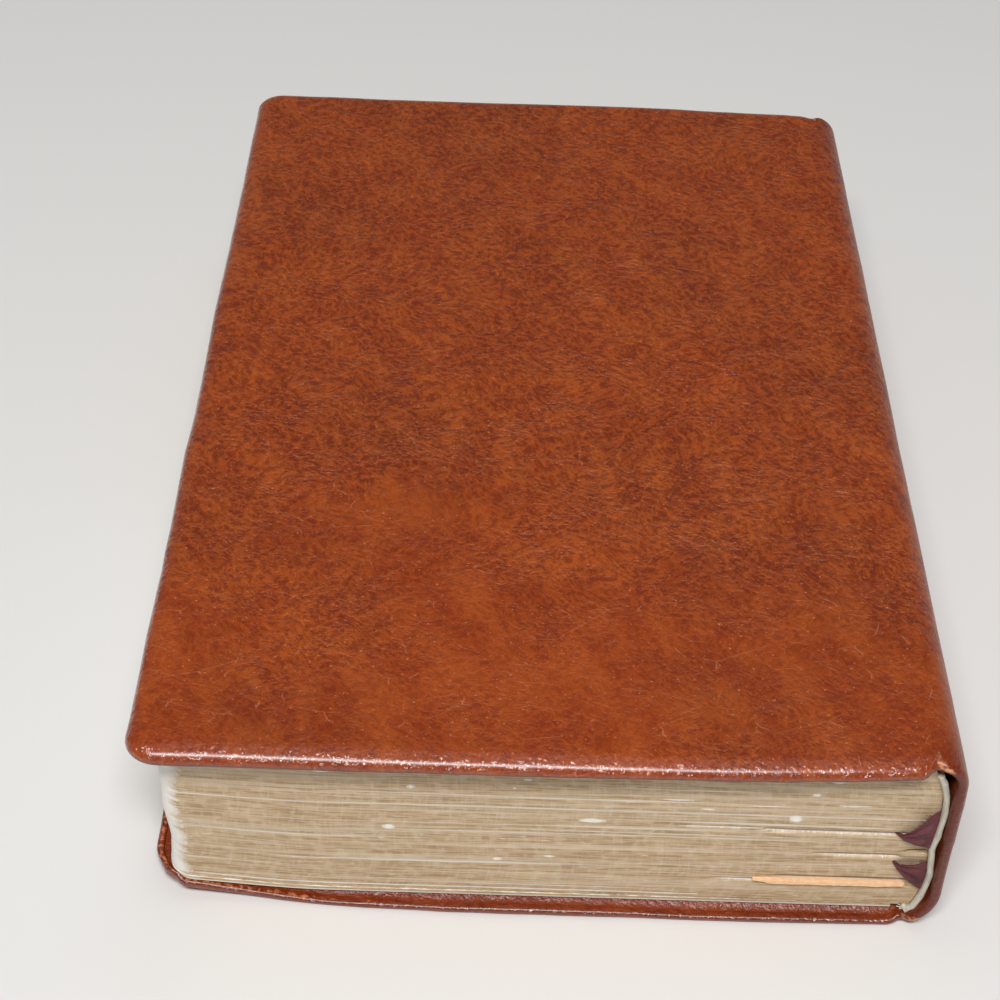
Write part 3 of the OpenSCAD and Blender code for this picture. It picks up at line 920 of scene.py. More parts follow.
@dataclass(frozen=True)
class LeatherSkin:
    """One half of the book's skin: a cover and the half of the spine beside it, as a closed shell.

    The rim lies lip_h deep at the fore-edge and nears low_lip_h over lip_fall. The bend's height is
    bend_share of that depth, and its width is bend_aspect times its height. The middle of the cover
    hangs by sag. Values that end in _in say how far the edge is drawn in there, those in _t are
    thicknesses, and those in _wear say how much is rubbed. The UV place runs from hide_start, forwards
    or backwards by hide_way. polish_row counts from the middle of the rim to the polished roll.
    """

    name: str
    section: SkinSection
    edge: TurnedEdge
    half_h: float
    corner_r: float
    hinge_run: float
    seam_run: float
    lip_h: float
    low_lip_h: float
    lip_fall: float
    bend_share: float
    bend_aspect: float
    rim_t: float
    sag: float
    head_in: float
    corner_in: float
    hinge_in: float
    spine_in: float
    polish_row: float
    shade_on: float
    curled: bool
    hide_start: float
    hide_way: float
    rim_wear: float
    corner_wear: float
    seed: int
    bend_max: float = 3.2
    cover_t: float = 2.4
    sheet_t: float = 1.95
    turn_in_w: float = 14.0
    spine_t: float = 1.45
    cap_t: float = 1.95
    near_rows: int = 9
    far_rows: int = 42
    wall_columns: int = 7
    bend_columns: int = 15
    flat_columns: int = 12
    corner_columns: int = 12
    flat_reach: float = 9.0
    column_mm: float = 1.5
    notch_mm: float = 1.1
    wobble_mm: float = 0.16

    def sheet(self, stop: Array) -> Array:
        """Insets of a sheet's rows in each column, from the middle of the book to stop."""
        near = mix(self.turn_in_w, stop[None, :], np.linspace(0.0, 1.0, self.near_rows)[:, None])
        far = np.linspace(self.half_h, self.turn_in_w + 2.0, self.far_rows)
        far = np.append(far, self.turn_in_w + 0.4)
        return np.concatenate([far[:, None] * np.ones_like(near[:1]), near])

    def hinge_columns(self) -> Array:
        """Runs of the columns that stay where they are in every row, from the seam to the flat cover."""
        wall_run, flat_run = self.section.wall_run, self.section.flat_run
        last = min(self.hinge_run, flat_run) - self.flat_reach
        wall = np.linspace(self.seam_run, wall_run, self.wall_columns)
        bend = np.linspace(wall_run, flat_run, self.bend_columns)[1:]
        flat = np.linspace(flat_run, last, self.flat_columns)[1:]
        return np.concatenate([wall, bend, flat])

    def plan(self, inset: Array) -> tuple[Array, Array]:
        """Run and Y of each point at its inset from the edge of the hide.

        The line goes along the head from the seam, round a corner of radius corner_r less the inset,
        along the fore-edge, round the second corner and back along the tail.

        Args:
            inset: Inset of each row and column.

        Returns:
            The run and the Y of each point.
        """
        fixed = self.hinge_columns()
        free_count, along_count = self.counts()
        free = np.linspace(0.0, 1.0, free_count + 1)[1:]
        turn = np.linspace(0.0, 1.0, self.corner_columns + 1)[1:] * QUARTER
        along = np.linspace(0.0, 1.0, along_count + 1)[1:]
        side = len(fixed) + len(free) + len(turn)
        first, second = inset[:, :side], inset[:, side + 2 * len(along) - 1:][:, ::-1]
        middle = inset[:, side:side + 2 * len(along) - 1]

        def half_way(values: Array) -> tuple[Array, Array]:
            centre = np.maximum(values, self.corner_r)
            parts = np.split(values, [len(fixed), len(fixed) + len(free)], axis=1)
            centres = np.split(centre, [len(fixed), len(fixed) + len(free)], axis=1)
            radius = centres[2] - parts[2]
            run = np.concatenate([
                fixed[None, :] + 0.0 * parts[0], mix(fixed[-1], centres[1], free[None, :]),
                centres[2] - radius * np.sin(turn),
            ], axis=1)
            from_edge = np.concatenate([parts[0], parts[1], centres[2] - radius * np.cos(turn)], axis=1)
            return run, from_edge

        run_head, head = half_way(first)
        run_tail, tail = half_way(second)
        whole = np.concatenate([along, 2.0 - along[:-1][::-1]]) / 2.0
        centre = np.maximum(middle, self.corner_r)
        fore_y = mix(centre - self.half_h, self.half_h - centre, whole[None, :])
        run = np.concatenate([run_head, middle, run_tail[:, ::-1]], axis=1)
        across = np.concatenate([head - self.half_h, fore_y, (self.half_h - tail)[:, ::-1]], axis=1)
        return run, across

    def counts(self) -> tuple[int, int]:
        """Number of columns between the hinge and a corner, and along half of the fore-edge."""
        free = round((self.hinge_columns()[-1] - self.corner_r) / self.column_mm)
        return free, round((self.half_h - self.corner_r) / self.column_mm)

    def column_count(self) -> int:
        """Number of columns round the hide."""
        free, along = self.counts()
        return 2 * (len(self.hinge_columns()) + free + self.corner_columns) + 2 * along - 1

    def drawn_in(self, run: Array, across: Array, on_spine: Array, wobble: Array) -> Array:
        """How far the edge lies inside the plan, at the head and the tail.

        A cover has head_in at the head, corner_in near the fore-edge, and hinge_in times the sixth power of
        the run's share. The spine has spine_in. A notch at the hinge and a small wobble are added.
        """
        share = np.clip(run / self.hinge_run, 0.0, 1.0)
        end = ease(self.half_h - 12.0, self.half_h - 2.0, np.abs(across))
        near_fore = self.corner_in * (1.0 - ease(0.0, 60.0, run))
        cover = self.head_in * (across < 0.0) + near_fore + self.hinge_in * share**6
        along = mix(cover, self.spine_in, on_spine)
        return along * end + self.notch_mm * bell(self.hinge_run, 1.4, run) + self.wobble_mm * wobble

    def build(self) -> bpy.types.Object:
        """Mesh of the shell: the rows of the section, carried round the edge of the hide."""
        columns = self.column_count()
        run, across = self.plan(np.zeros((1, columns)))
        run, across = run[0], across[0]
        wobble = drift(across / 17.0, run / 17.0, self.seed)
        ripple = drift(across / 5.0, run / 5.0, self.seed + 1)
        on_spine = ease(self.hinge_run - 2.5, self.hinge_run + 2.5, run)
        lip = self.low_lip_h + (self.lip_h - self.low_lip_h) * np.exp(-run / self.lip_fall)
        lip = mix(lip + self.wobble_mm * wobble + 0.06 * ripple, self.cap_t, on_spine)
        bend_h = np.minimum(mix(self.bend_share, 0.5, on_spine) * lip, self.bend_max)
        bend_w = bend_h * mix(self.bend_aspect, 1.4, on_spine)
        rim_t = mix(self.rim_t, self.cap_t, on_spine)
        inner_t = mix(self.cover_t, self.cap_t, on_spine)
        inset, depth = self.edge.rows(lip, bend_h, bend_w, rim_t, inner_t)
        outer_sheet, inner_sheet = self.sheet(bend_w), self.sheet(inset[-1])
        turned_in = (inner_sheet <= self.turn_in_w + 0.1).astype(float)
        at_cover = mix(self.sheet_t, self.cover_t, turned_in)
        at_spine = mix(self.spine_t, self.cap_t, turned_in)
        inside = mix(at_cover, at_spine, on_spine[None, :])
        inset = np.concatenate([outer_sheet, inset, inner_sheet[:-1][::-1]])
        depth = np.concatenate([0.0 * outer_sheet, depth, inside[:-1][::-1]])
        rows, rim_row = len(inset), (len(inset) - 1) // 2
        steps = np.hypot(np.diff(inset, axis=0), np.diff(depth, axis=0))
        developed = self.half_h - np.concatenate([np.zeros((1, columns)), np.cumsum(steps, axis=0)])
        tangent = np.stack([np.gradient(inset, axis=0), np.gradient(depth, axis=0)])
        tangent /= np.maximum(np.hypot(*tangent), 1e-9)
        row = np.arange(rows)[:, None]
        outside = 1.0 - ease(rim_row, rim_row + 12.0, row)
        plan_run, plan_y = self.plan(inset)
        bump = 0.05 * drift(plan_run / 6.0, plan_y / 6.0, self.seed + 2)
        bump += 0.10 * drift(plan_run / 23.0, plan_y / 23.0, self.seed + 3)
        bump += 0.05 * ripple[None, :]
        near_edge = 1.0 - ease(5.0, 22.0, inset)
        inset = inset - tangent[1] * bump * outside
        depth = depth + tangent[0] * bump * outside
        inset = inset + self.drawn_in(run, across, on_spine, wobble)[None, :] * near_edge
        middle = np.sin(np.pi * np.clip((plan_run - 4.0) / (self.hinge_run - 8.0), 0.0, 1.0))
        upper = 1.0 - ease(rim_row - 3.0, rim_row + 4.0, row)
        depth = depth + self.sag * middle * (1.0 - 0.5 * near_edge) * upper
        run_at, y_at = self.plan(inset)
        if self.curled:
            depth = depth + curl(self.section.fore_x + run_at)
        points = self.section.place(run_at, y_at, depth)
        hide_run, hide_y = self.plan(developed)
        uv = np.stack([self.hide_start + self.hide_way * hide_run, hide_y], axis=-1)
        paint = {"wear": self.wear(row, rim_row, run, across, inset)}
        paint |= self.gloss(row, rim_row, on_spine[None, :])
        patch = Patch(points, uv, paint)
        piece = make_mesh(self.name, [patch, patch.edge_pair(0, rim_row), patch.edge_pair(-1, rim_row)])
        log.info("%s: %d vertices", self.name, len(piece.data.vertices))
        return piece

    def gloss(self, row: Array, rim_row: int, on_spine: Array) -> dict[str, Array]:
        """Painted polish and shade round the edge of the hide.

        Args:
            row: Number of each row.
            rim_row: Row in the middle of the rim.
            on_spine: 1 in the columns of the spine, 0 in those of the cover.

        Returns:
            The pebbled, polished roll of a cover, and painted shade under it, on the inside and at the cap.
        """
        cover = 1.0 - 0.7 * on_spine
        # Painted shade under the roll and inside the turn-ins, and on the spine's cap.
        under = self.shade_on * bell(rim_row - 2.5, 5.0, row) + 0.5 * ease(rim_row, rim_row + 8.0, row)
        cap = 0.95 * bell(rim_row - 5.0, 11.0, row) * on_spine
        return {"pebble": bell(rim_row + self.polish_row, 5.0, row) * cover, "shade": under * cover + cap}

    def wear(self, row: Array, rim_row: int, run: Array, across: Array, inset: Array) -> Array:
        """Painted wear: along the rim, most of all round the head's fore-edge corner, and at the hinge.

        Args:
            row: Number of each row.
            rim_row: Row in the middle of the rim.
            run: Run of each column at the edge.
            across: Y of each column at the edge.
            inset: Inset of each point.

        Returns:
            Wear from 0 to about 1.
        """
        rim = bell(rim_row, 3.2, row)
        corner = (1.0 - ease(24.0, 58.0, run)) * (1.0 - ease(-75.0, -20.0, across))
        along = self.rim_wear + (self.corner_wear - self.rim_wear) * corner
        crown = bell(rim_row - 8.0, 5.0, row) * bell(self.hinge_run + 2.6, 1.8, run)
        fold = bell(self.hinge_run + 0.5, 0.6, run)[None, :] * (row < rim_row)
        at_fold = (0.5 - 0.25 * ease(2.0, 16.0, inset)) * fold
        return np.clip(rim * along[None, :] + 0.9 * crown + at_fold, 0.0, 1.0)


@dataclass(frozen=True)
class InnerSheet:
    """Card or paper inside the skin, which follows its section. It is square, or rounded at its free end."""

    name: str
    section: SkinSection
    start: float
    stop: float
    half_h: float
    depth: float
    thickness: float
    corner_r: float = 0.0
    curled: bool = False

    def build(self) -> bpy.types.Object:
        """Closed sheet. Its half height over the run is half_h, less what a circle of corner_r leaves."""
        run = np.linspace(self.start, self.stop, 90)[:, None]
        corner = np.maximum(self.corner_r - (run - self.start), 0.0)
        reach = self.half_h - self.corner_r + np.sqrt(np.maximum(self.corner_r**2 - corner**2, 0.0))
        side = np.linspace(-1.0, 1.0, 30)[None, :]
        depth = self.depth + (curl(self.section.fore_x + run) if self.curled else 0.0 * run)
        middle = self.section.place(run, reach * side, depth)
        return make_mesh(self.name, [ribbon_strip(middle, side[0] * self.half_h, self.thickness)])


@dataclass(frozen=True)
class Scuff:
    """A rubbed oval on the head of the leaves, by its middle and its half width and height."""

    x: float
    z: float
    half_w: float
    half_h: float


@dataclass(frozen=True)
class Opening:
    """A slit between two leaves at the head.

    It runs from x0 to x1 at height z, half_t to each side and depth deep. At bare 0 it is darkened
    with painted shade, and at 1 it shows pale paper.
    """

    x0: float
    x1: float
    z: float
    half_t: float
    depth: float
    bare: float


@dataclass(frozen=True)
class LeafStack:
    """A stack of leaves: its outline at each height, carried up through rows of leaf edges."""

    name: str
    sizes: BookSizes
    z0: float
    z1: float
    row_mm: float
    back: Array
    relief: float
    seed: int
    corner_r: float = 4.2
    scuffs: tuple[Scuff, ...] = ()
    openings: tuple[Opening, ...] = ()
    head_mm: float = 138.0
    head_step: float = 0.72
    tail_columns: int = 100
    corner_columns: int = 11
    side_columns: int = 85
    back_columns: int = 30
    foot_z: float = 2.7
    lift_h: float = 39.0

    def fore_x(self, z: Array) -> Array:
        """X of the hollow fore-edge: a dent round z = 11.5 and a rounded foot."""
        return -69.35 + 0.95 * bell(11.5, 6.5, z) + 0.8 * (1.0 - ease(self.foot_z, 4.2, z))

    def lifted(self, x: Array, z: Array) -> Array:
        """Height of each point: the lowest leaves lift with the cover, and the lift fades up the stack."""
        return z + curl(x) * (1.0 - np.clip((z - self.foot_z) / self.lift_h, 0.0, 1.0) ** 3)

    def back_x(self, z: Array) -> Array:
        """X of the back of the leaves, through the given points of back."""
        order = np.argsort(self.back[:, 1])
        return np.interp(z, self.back[order, 1], self.back[order, 0])

    def build(self) -> bpy.types.Object:
        """Closed mesh of the stack, with its head, fore-edge, tail and back in one grid."""
        half = self.sizes.block_half_h
        z = np.linspace(self.z0, self.z1, max(3, round((self.z1 - self.z0) / self.row_mm) + 1))[:, None]
        fore, back = self.fore_x(z), self.back_x(z)
        head = np.linspace(0.0, 1.0, round(self.head_mm / self.head_step))[None, :]
        tail = np.linspace(1.0, 0.0, self.tail_columns)[None, :]
        turn = np.linspace(0.0, QUARTER, self.corner_columns)[None, 1:-1]
        side = np.linspace(-1.0, 1.0, self.side_columns)[None, :]
        behind = np.linspace(1.0, -1.0, self.back_columns)[None, 1:]
        r, one = self.corner_r, np.ones_like(z)
        start = fore + r
        x = np.concatenate([
            mix(back, start, head), start - r * np.sin(turn), fore * np.ones_like(side),
            start - r * np.cos(turn), mix(back, start, tail), back * np.ones_like(behind),
        ], axis=1)
        y = np.concatenate([
            -half * np.ones_like(head) * one, (-half + r - r * np.cos(turn)) * one, (half - r) * side * one,
            (half - r + r * np.sin(turn)) * one, half * np.ones_like(tail) * one, half * behind * one,
        ], axis=1)
        nx = np.concatenate([
            0 * head, -np.sin(turn), 0 * side - 1, -np.cos(turn), 0 * tail, 0 * behind + 1,
        ], axis=1)
        ny = np.concatenate([
            0 * head - 1, -np.cos(turn), 0 * side, np.sin(turn), 0 * tail + 1, 0 * behind,
        ], axis=1)
        steps = np.hypot(np.diff(x), np.diff(y))
        length = np.concatenate([np.zeros((len(z), 1)), np.cumsum(steps, axis=1)], axis=1)
        on_head = (ny < -0.99).astype(float)
        inward, slit_shade, bare = self.surface(x, z, length, on_head)
        round_corner = ((np.abs(nx) > 0.02) & (np.abs(ny) > 0.02)).astype(float)
        ragged = 0.7 * drift(z / 0.8, 0.0, self.seed + 4) + 0.8 * drift(z / 5.0, 0.0, self.seed + 5)
        at_head = (y < 0.0).astype(float)
        bare = np.maximum(bare, 0.75 * round_corner * (1.0 - at_head))
        bare = np.maximum(bare, 0.9 * (1.0 - ease(1.2, 6.0, x - fore + ragged)) * at_head)
        points = np.stack([x - nx * inward, y - ny * inward, self.lifted(x, z)], axis=-1)
        gilt = ease(0.25, 0.4, z - self.z0) * (1.0 - bare)
        paint = {"slit_shade": slit_shade, "bare": bare, "gilt": gilt}
        wall = Patch(points, np.stack([length, z * np.ones_like(x)], axis=-1), paint)
        piece = make_mesh(self.name, [wall, self.cap(wall, 0), self.cap(wall, -1)], sharp_deg=60.0)
        log.info("%s: %d vertices", self.name, len(piece.data.vertices))
        return piece

    def surface(self, x: Array, z: Array, length: Array, on_head: Array) -> tuple[Array, Array, Array]:
        """How far each point lies in, how much of it is painted shade in a slit, and how much is bare paper.

        Leaves lie in by a random amount for each row, which drifts along the edge. Slits go in along
        a bell curve across their thickness.

        Args:
            x: X of each point.
            z: Height of each row.
            length: Length round the stack.
            on_head: 1 on the head, 0 elsewhere.

        Returns:
            Distance in, painted slit shade and bareness.
        """
        rows = np.random.default_rng(self.seed).uniform(0.0, 1.0, len(z))[:, None]
        inward = self.relief * (0.5 * rows + 0.5 * drift(length / 45.0, z / 0.5, self.seed + 1))
        inward = inward + 2.2 * self.relief * drift(length / 70.0, z / 5.0, self.seed + 2)
        slit_shade, bare = np.zeros_like(x), np.zeros_like(x)
        for slit in self.openings:
            within = ease(slit.x0, slit.x0 + 5.0, x) * (1.0 - ease(slit.x1 - 1.0, slit.x1, x)) * on_head
            deep = within * bell(slit.z, slit.half_t, z)
            inward = inward + slit.depth * deep
            # A slit that shows no paper gets painted shade.
            slit_shade = np.maximum(slit_shade, (1.0 - slit.bare) * deep)
            bare = np.maximum(bare, slit.bare * within * bell(slit.z, 1.3 * slit.half_t, z))
        for scuff in self.scuffs:
            away = np.hypot((x - scuff.x) / scuff.half_w, (z - scuff.z) / scuff.half_h)
            bare = np.maximum(bare, 0.85 * (1.0 - ease(0.5, 1.2, away)) * on_head)
        return inward, slit_shade, bare

    def cap(self, wall: Patch, row: int) -> Patch:
        """Top or bottom: from the outline in to a line along the middle of the stack, at its own lift."""
        outline = wall.points[row]
        share = np.array([0.0, 0.003, 0.25, 0.5, 0.75, 1.0])[:, None]
        x0, x1 = outline[:, 0].min() + 60.0, outline[:, 0].max() - 60.0
        x = mix(outline[None, :, 0], np.clip(outline[:, 0], x0, x1)[None, :], share)
        z = (self.z0, self.z1)[row] * np.ones_like(x)
        points = np.stack([x, outline[None, :, 1] * (1.0 - share), self.lifted(x, z)], axis=-1)
        paint = {"slit_shade": 0.0 * x, "bare": 0.0 * x + 1.0, "gilt": 0.0 * x}
        return Patch(points, points[:, :, :2], paint)


def tube(path: Array, side: Array, out: Array, half_w: Array, half_t: Array, sides: int) -> Patch:
    """Closed tube with an oval section, drawn to a point at both ends.

    A point of the ring at angle a lies at the path plus side * half_w * cos a plus out * half_t * sin a.

    Args:
        path: Points along the middle of the tube.
        side: Unit vector across the tube at each point.
        out: Unit vector out of the surface at each point.
        half_w: Half the width at each point.
        half_t: Half the thickness at each point.
        sides: Number of points round a ring.

    Returns:
        The tube as one sheet, whose first and last columns and end rings are welded later.
    """
    turn = np.linspace(0.0, 2.0 * math.pi, sides + 1)
    ends = np.ones(len(path) + 2)
    ends[[0, -1]] = 0.0
    grow = np.pad(np.arange(len(path)), 1, mode="edge")
    path, side, out = path[grow], side[grow], out[grow]
    wide = (half_w[grow] * ends)[:, None, None] * np.cos(turn)[None, :, None]
    thick = (half_t[grow] * ends)[:, None, None] * np.sin(turn)[None, :, None]
    points = path[:, None, :] + side[:, None, :] * wide + out[:, None, :] * thick
    length = np.concatenate([[0.0], np.cumsum(np.linalg.norm(np.diff(path, axis=0), axis=1))])
    uv = np.stack(np.broadcast_arrays(length[:, None], (turn * half_w.mean())[None, :]), axis=-1)
    return Patch(points, uv)


def ribbon_strip(middle: Array, across: Array, thickness: float) -> Patch:
    """Closed strip of cloth around a sheet of points.

    The sheet's own normal is the cross product of its two directions. Half the thickness goes to each
    side of it, and the section closes at both selvedges and at both ends.

    Args:
        middle: Points in rows along the ribbon and columns across it.
        across: Distance across the ribbon of each column.
        thickness: Thickness of the cloth.

    Returns:
        The strip.
    """
    along = np.gradient(middle, axis=0)
    over = np.gradient(middle, axis=1)
    normal = np.cross(along, over)
    normal /= np.maximum(np.linalg.norm(normal, axis=-1, keepdims=True), 1e-9)
    top, bottom = middle + normal * thickness / 2, middle - normal * thickness / 2
    ring = np.concatenate([top, bottom[:, ::-1], top[:, :1]], axis=1)
    ends = [np.concatenate([middle[row], middle[row][::-1], middle[row][:1]])[None] for row in (0, -1)]
    points = np.concatenate([ends[0], ring, ends[1]])
    steps = np.linalg.norm(np.diff(middle[:, middle.shape[1] // 2], axis=0), axis=1)
    length = np.concatenate([[0.0, 0.0], np.cumsum(steps)])
    length = np.concatenate([length, length[-1:]])
    wide = np.concatenate([across, across[::-1], across[:1]])
    uv = np.stack(np.broadcast_arrays(length[:, None], wide[None, :]), axis=-1)
    return Patch(points, uv)


@dataclass(frozen=True)
class EndBand:
    """Cloth bead along the back of the leaves, at the head or at the tail, with a frayed foot."""

    name: str
    sizes: BookSizes
    line: Array
    end: float
    half_w: float = 0.6
    half_t: float = 0.85
    seed: int = 5

    def build(self) -> bpy.types.Object:
        """Bead swept along its line, with loose threads at its foot and its cloth down the leaves."""
        along = np.linspace(0.0, 1.0, 120)
        flat = curve_through(self.line, along)
        y = self.end * (self.sizes.block_half_h + self.half_t - 0.15)
        lump = drift(along * 26.0, 0.0, self.seed)
        path = np.stack([flat[:, 0] + 0.05 * lump, np.full_like(along, y), flat[:, 1]], axis=-1)
        run = np.gradient(path, axis=0)
        run /= np.linalg.norm(run, axis=1, keepdims=True)
        out = np.tile([0.0, self.end, 0.0], (len(path), 1))
        side = np.cross(out, run)
        flare = 1.0 + 0.05 * lump + 1.5 * ease(0.93, 0.99, along)
        patches = [tube(path, side, out, self.half_w * flare, self.half_t * (1.0 + 0.06 * lump), 14)]
        patches += [self.thread(path[-1], run[-1], side[-1], out[-1], number) for number in range(9)]
        cloth_y = self.end * np.linspace(self.sizes.block_half_h + 0.4, self.sizes.block_half_h - 9.0, 8)
        strip = curve_through(self.line, np.linspace(0.1, 0.9, 40))
        parts = np.broadcast_arrays(strip[:, None, 0] + 0.1, cloth_y[None, :], strip[:, None, 1])
        patches.append(ribbon_strip(np.stack(parts, axis=-1), cloth_y, 0.3))
        return make_mesh(self.name, patches)

    def thread(self, foot: Array, run: Array, side: Array, out: Array, number: int) -> Patch:
        """Loose thread that fans out from the foot of the bead and bends as it goes."""
        rng = np.random.default_rng(self.seed * 100 + number)
        fan, lift, length = rng.uniform(-0.9, 0.9), rng.uniform(-0.4, 0.5), rng.uniform(0.7, 1.7)
        t = np.linspace(0.0, 1.0, 7)[:, None]
        way = run + side * fan + out * lift * t
        path = foot + side * fan * 0.7 - run * 0.5 + way * t * length
        ones, each = np.ones(len(path)), (len(path), 1)
        return tube(path, np.tile(side, each), np.tile(out, each), 0.11 * ones, 0.09 * ones, 5)


@dataclass(frozen=True)
class RibbonMarker:
    """Ribbon that comes over the headband, gathers into a slit between leaves and hangs out at the tail."""

    name: str
    sizes: BookSizes
    z: float
    band_top: tuple[float, float]
    band_foot: tuple[float, float]
    tip_x: float
    tip_z: float
    bow: float
    bulge: float
    bend_r: float
    drop: float
    width: float = 9.5
    thickness: float = 0.3
    threads: int = 14
    seed: int = 11

    def build(self) -> bpy.types.Object:
        """Strip of cloth: its fold on the head, its run between the leaves and its end at the tail."""
        w = np.linspace(0.0, 1.0, 21)
        fold, run = self.fold(w), self.run(w)
        patches = [ribbon_strip(cloth, w * self.width, self.thickness) for cloth in (fold, run)]
        patches += [self.thread(fold, number) for number in range(self.threads)]
        return make_mesh(self.name, patches)

    def fold(self, w: Array) -> Array:
        """Fold on the head.

        Its edge at the band is a line from band_top to band_foot. From there it is drawn towards the tip,
        the upper edge along an S whose strength is bow. The cloth gathers in pleats, and bulges out by the
        bulge times sin(pi * t) to the 0.7.

        Args:
            w: Share across the ribbon of each column, from its top edge.

        Returns:
            Points in rows along the ribbon.
        """
        t = np.linspace(0.0, 1.0, 34)[:, None]
        x0 = mix(self.band_top[0], self.band_foot[0], w)[None, :]
        z0 = mix(self.band_top[1], self.band_foot[1], w)[None, :]
        tip_z = self.tip_z + 0.3 * (0.5 - w)[None, :]
        x = mix(x0, self.tip_x + 0.4 * np.abs(w - 0.5)[None, :], t)
        pull = mix(mix(t, ease(0.0, 1.0, t), self.bow), t**1.15, w[None, :])
        z = mix(z0, tip_z, pull)
        pleats = 0.22 * np.sin(math.pi * t) * np.sin(2.0 * math.pi * (2.6 * w[None, :] + 0.3 * t))
        swell = np.sin(math.pi * np.clip(t * 0.9 + 0.06, 0, 1)) ** 0.7
        y = -self.sizes.block_half_h - 0.25 - self.bulge * swell
        dip = 0.9 * ease(0.8, 1.0, t)
        return np.stack(np.broadcast_arrays(x, y - pleats + dip, z), axis=-1)

    def run(self, w: Array) -> Array:
        """Flat run between the leaves, then the end that bends down at the tail and sways a little."""
        x1 = self.sizes.ribbon_x[1] - 1.0
        x0 = x1 - self.width
        half, r = self.sizes.block_half_h, self.bend_r
        straight = np.linspace(2.0 - half, half, 40)
        turn = np.linspace(0.0, QUARTER, 9)[1:]
        fall = np.linspace(0.0, self.drop, 16)[1:]
        y = np.concatenate([straight, half + r * np.sin(turn), np.full(len(fall), half + r)])
        z = np.concatenate([np.full(len(straight), self.z), self.z - r + r * np.cos(turn), self.z - r - fall])
        hang = np.concatenate([np.zeros(len(straight) + len(turn)), fall / self.drop])[:, None]
        sway = 0.18 * hang * np.sin(2.0 * math.pi * (w[None, :] * 1.2 + 0.2))
        x = mix(x0, x1, w)[None, :] + 0.4 * hang
        notch = 1.6 * hang**4 * (1.0 - np.abs(2.0 * w[None, :] - 1.0))
        return np.stack(np.broadcast_arrays(x, y[:, None] + sway, z[:, None] + notch), axis=-1)

    def thread(self, fold: Array, number: int) -> Patch:
        """Frayed thread on the top edge of the fold, leaning away from it."""
        rng = np.random.default_rng(self.seed * 100 + number)
        row = int(rng.integers(2, 30))
        foot = fold[row, 0]
        lean = np.array([rng.uniform(-0.9, -0.1), rng.uniform(-0.35, 0.1), rng.uniform(0.15, 0.8)])
        t = np.linspace(0.0, 1.0, 6)[:, None]
        path = foot + lean * t * rng.uniform(0.5, 1.2) + np.array([-0.3, 0.0, -0.15]) * t**2
        ones, each = np.ones(len(path)), (len(path), 1)
        side, out = np.tile([0.0, 0.0, 1.0], each), np.tile([0.0, -1.0, 0.0], each)
        return tube(path, side, out, 0.07 * ones, 0.06 * ones, 5)


@dataclass(frozen=True)
class CardSlip:
    """Slip of card between two leaves, thin at one side, standing out a little at the head."""

    name: str
    sizes: BookSizes
    half_t: float = 0.42
    columns: int = 70

    def build(self) -> bpy.types.Object:
        """Section of the card carried along the leaves, with a rough cut end at the head."""
        x0, x1 = self.sizes.slip_x
        y = np.linspace(*self.sizes.slip_y, 60)
        there = np.linspace(0.0, 1.0, self.columns)
        across = np.concatenate([there, np.linspace(1.0, 0.0, self.columns)[1:]])
        side = np.concatenate([np.ones(self.columns), -np.ones(self.columns - 1)])
        side[[0, self.columns - 1, -1]] = 0.0
        x = x0 + (x1 - x0) * across
        half = self.half_t * ease(-0.02, 0.16, across) * (1.0 - 0.3 * ease(0.8, 1.0, across))
        rough = 0.012 * drift(across * 60.0, y[:, None] / 3.0, 71)
        middle = self.sizes.slip_z + self.half_t - half
        z = middle + side * half + rough * np.abs(side)
        end = 0.06 * drift(across * 30.0, 0.0, 72)
        y_all = y[:, None] - end[None, :] * (1.0 - ease(y[0], y[0] + 6.0, y))[:, None]
        points = np.stack(np.broadcast_arrays(x[None, :], y_all, z), axis=-1)
        flat = points.copy()
        flat[:, :, 2] = middle[None, :]
        body = np.concatenate([flat[:1], points, flat[-1:]])
        return make_mesh(self.name, [Patch(body, body[:, :, :2])])


@dataclass(frozen=True)
class EndpaperJoint:
    """Strip of endpaper that joins a pastedown to the blank leaf beside it, folded at the hinge."""

    name: str
    sizes: BookSizes
    paper_z: float
    leaf_z: float
    edge_x: float
    reach: float = 0.9
    lap: float = 6.0
    thickness: float = 0.12

    def build(self) -> bpy.types.Object:
        """Strip in a C: along the pastedown, round a half turn at the hinge, and back along the leaf."""
        half = self.sizes.block_half_h - 1.0
        r = abs(self.paper_z - self.leaf_z) / 2
        middle = (self.paper_z + self.leaf_z) / 2
        way = math.copysign(1.0, self.paper_z - self.leaf_z)
        turn = np.linspace(0.0, math.pi, 19)
        flat = np.linspace(self.edge_x - self.lap, self.edge_x, 10)[:-1]
        x = np.concatenate([flat, self.edge_x + self.reach * np.sin(turn), flat[::-1]])
        on_paper, on_leaf = np.full_like(flat, self.paper_z), np.full_like(flat, self.leaf_z)
        z = np.concatenate([on_paper, middle + way * r * np.cos(turn), on_leaf])
        y = np.linspace(-half, half, 60)
        sheet = np.stack(np.broadcast_arrays(x[:, None], y[None, :], z[:, None]), axis=-1)
        return make_mesh(self.name, [ribbon_strip(sheet, y, self.thickness)])


@dataclass(frozen=True)
class Lamp:
    """Oblong soft lamp, turned to the book. Lengths are metres."""

    name: str
    at: Vector
    size: tuple[float, float]
    watts: float

    def hang(self) -> None:
        """Put the lamp in the scene."""
        data = bpy.data.lights.new(self.name, "AREA")
        data.shape, data.energy = "RECTANGLE", self.watts
        data.size, data.size_y = self.size
        lamp = bpy.data.objects.new(self.name, data)
        lamp.location = self.at
        lamp.rotation_euler = (-self.at).to_track_quat("-Z", "Y").to_euler()
        bpy.context.scene.collection.objects.link(lamp)


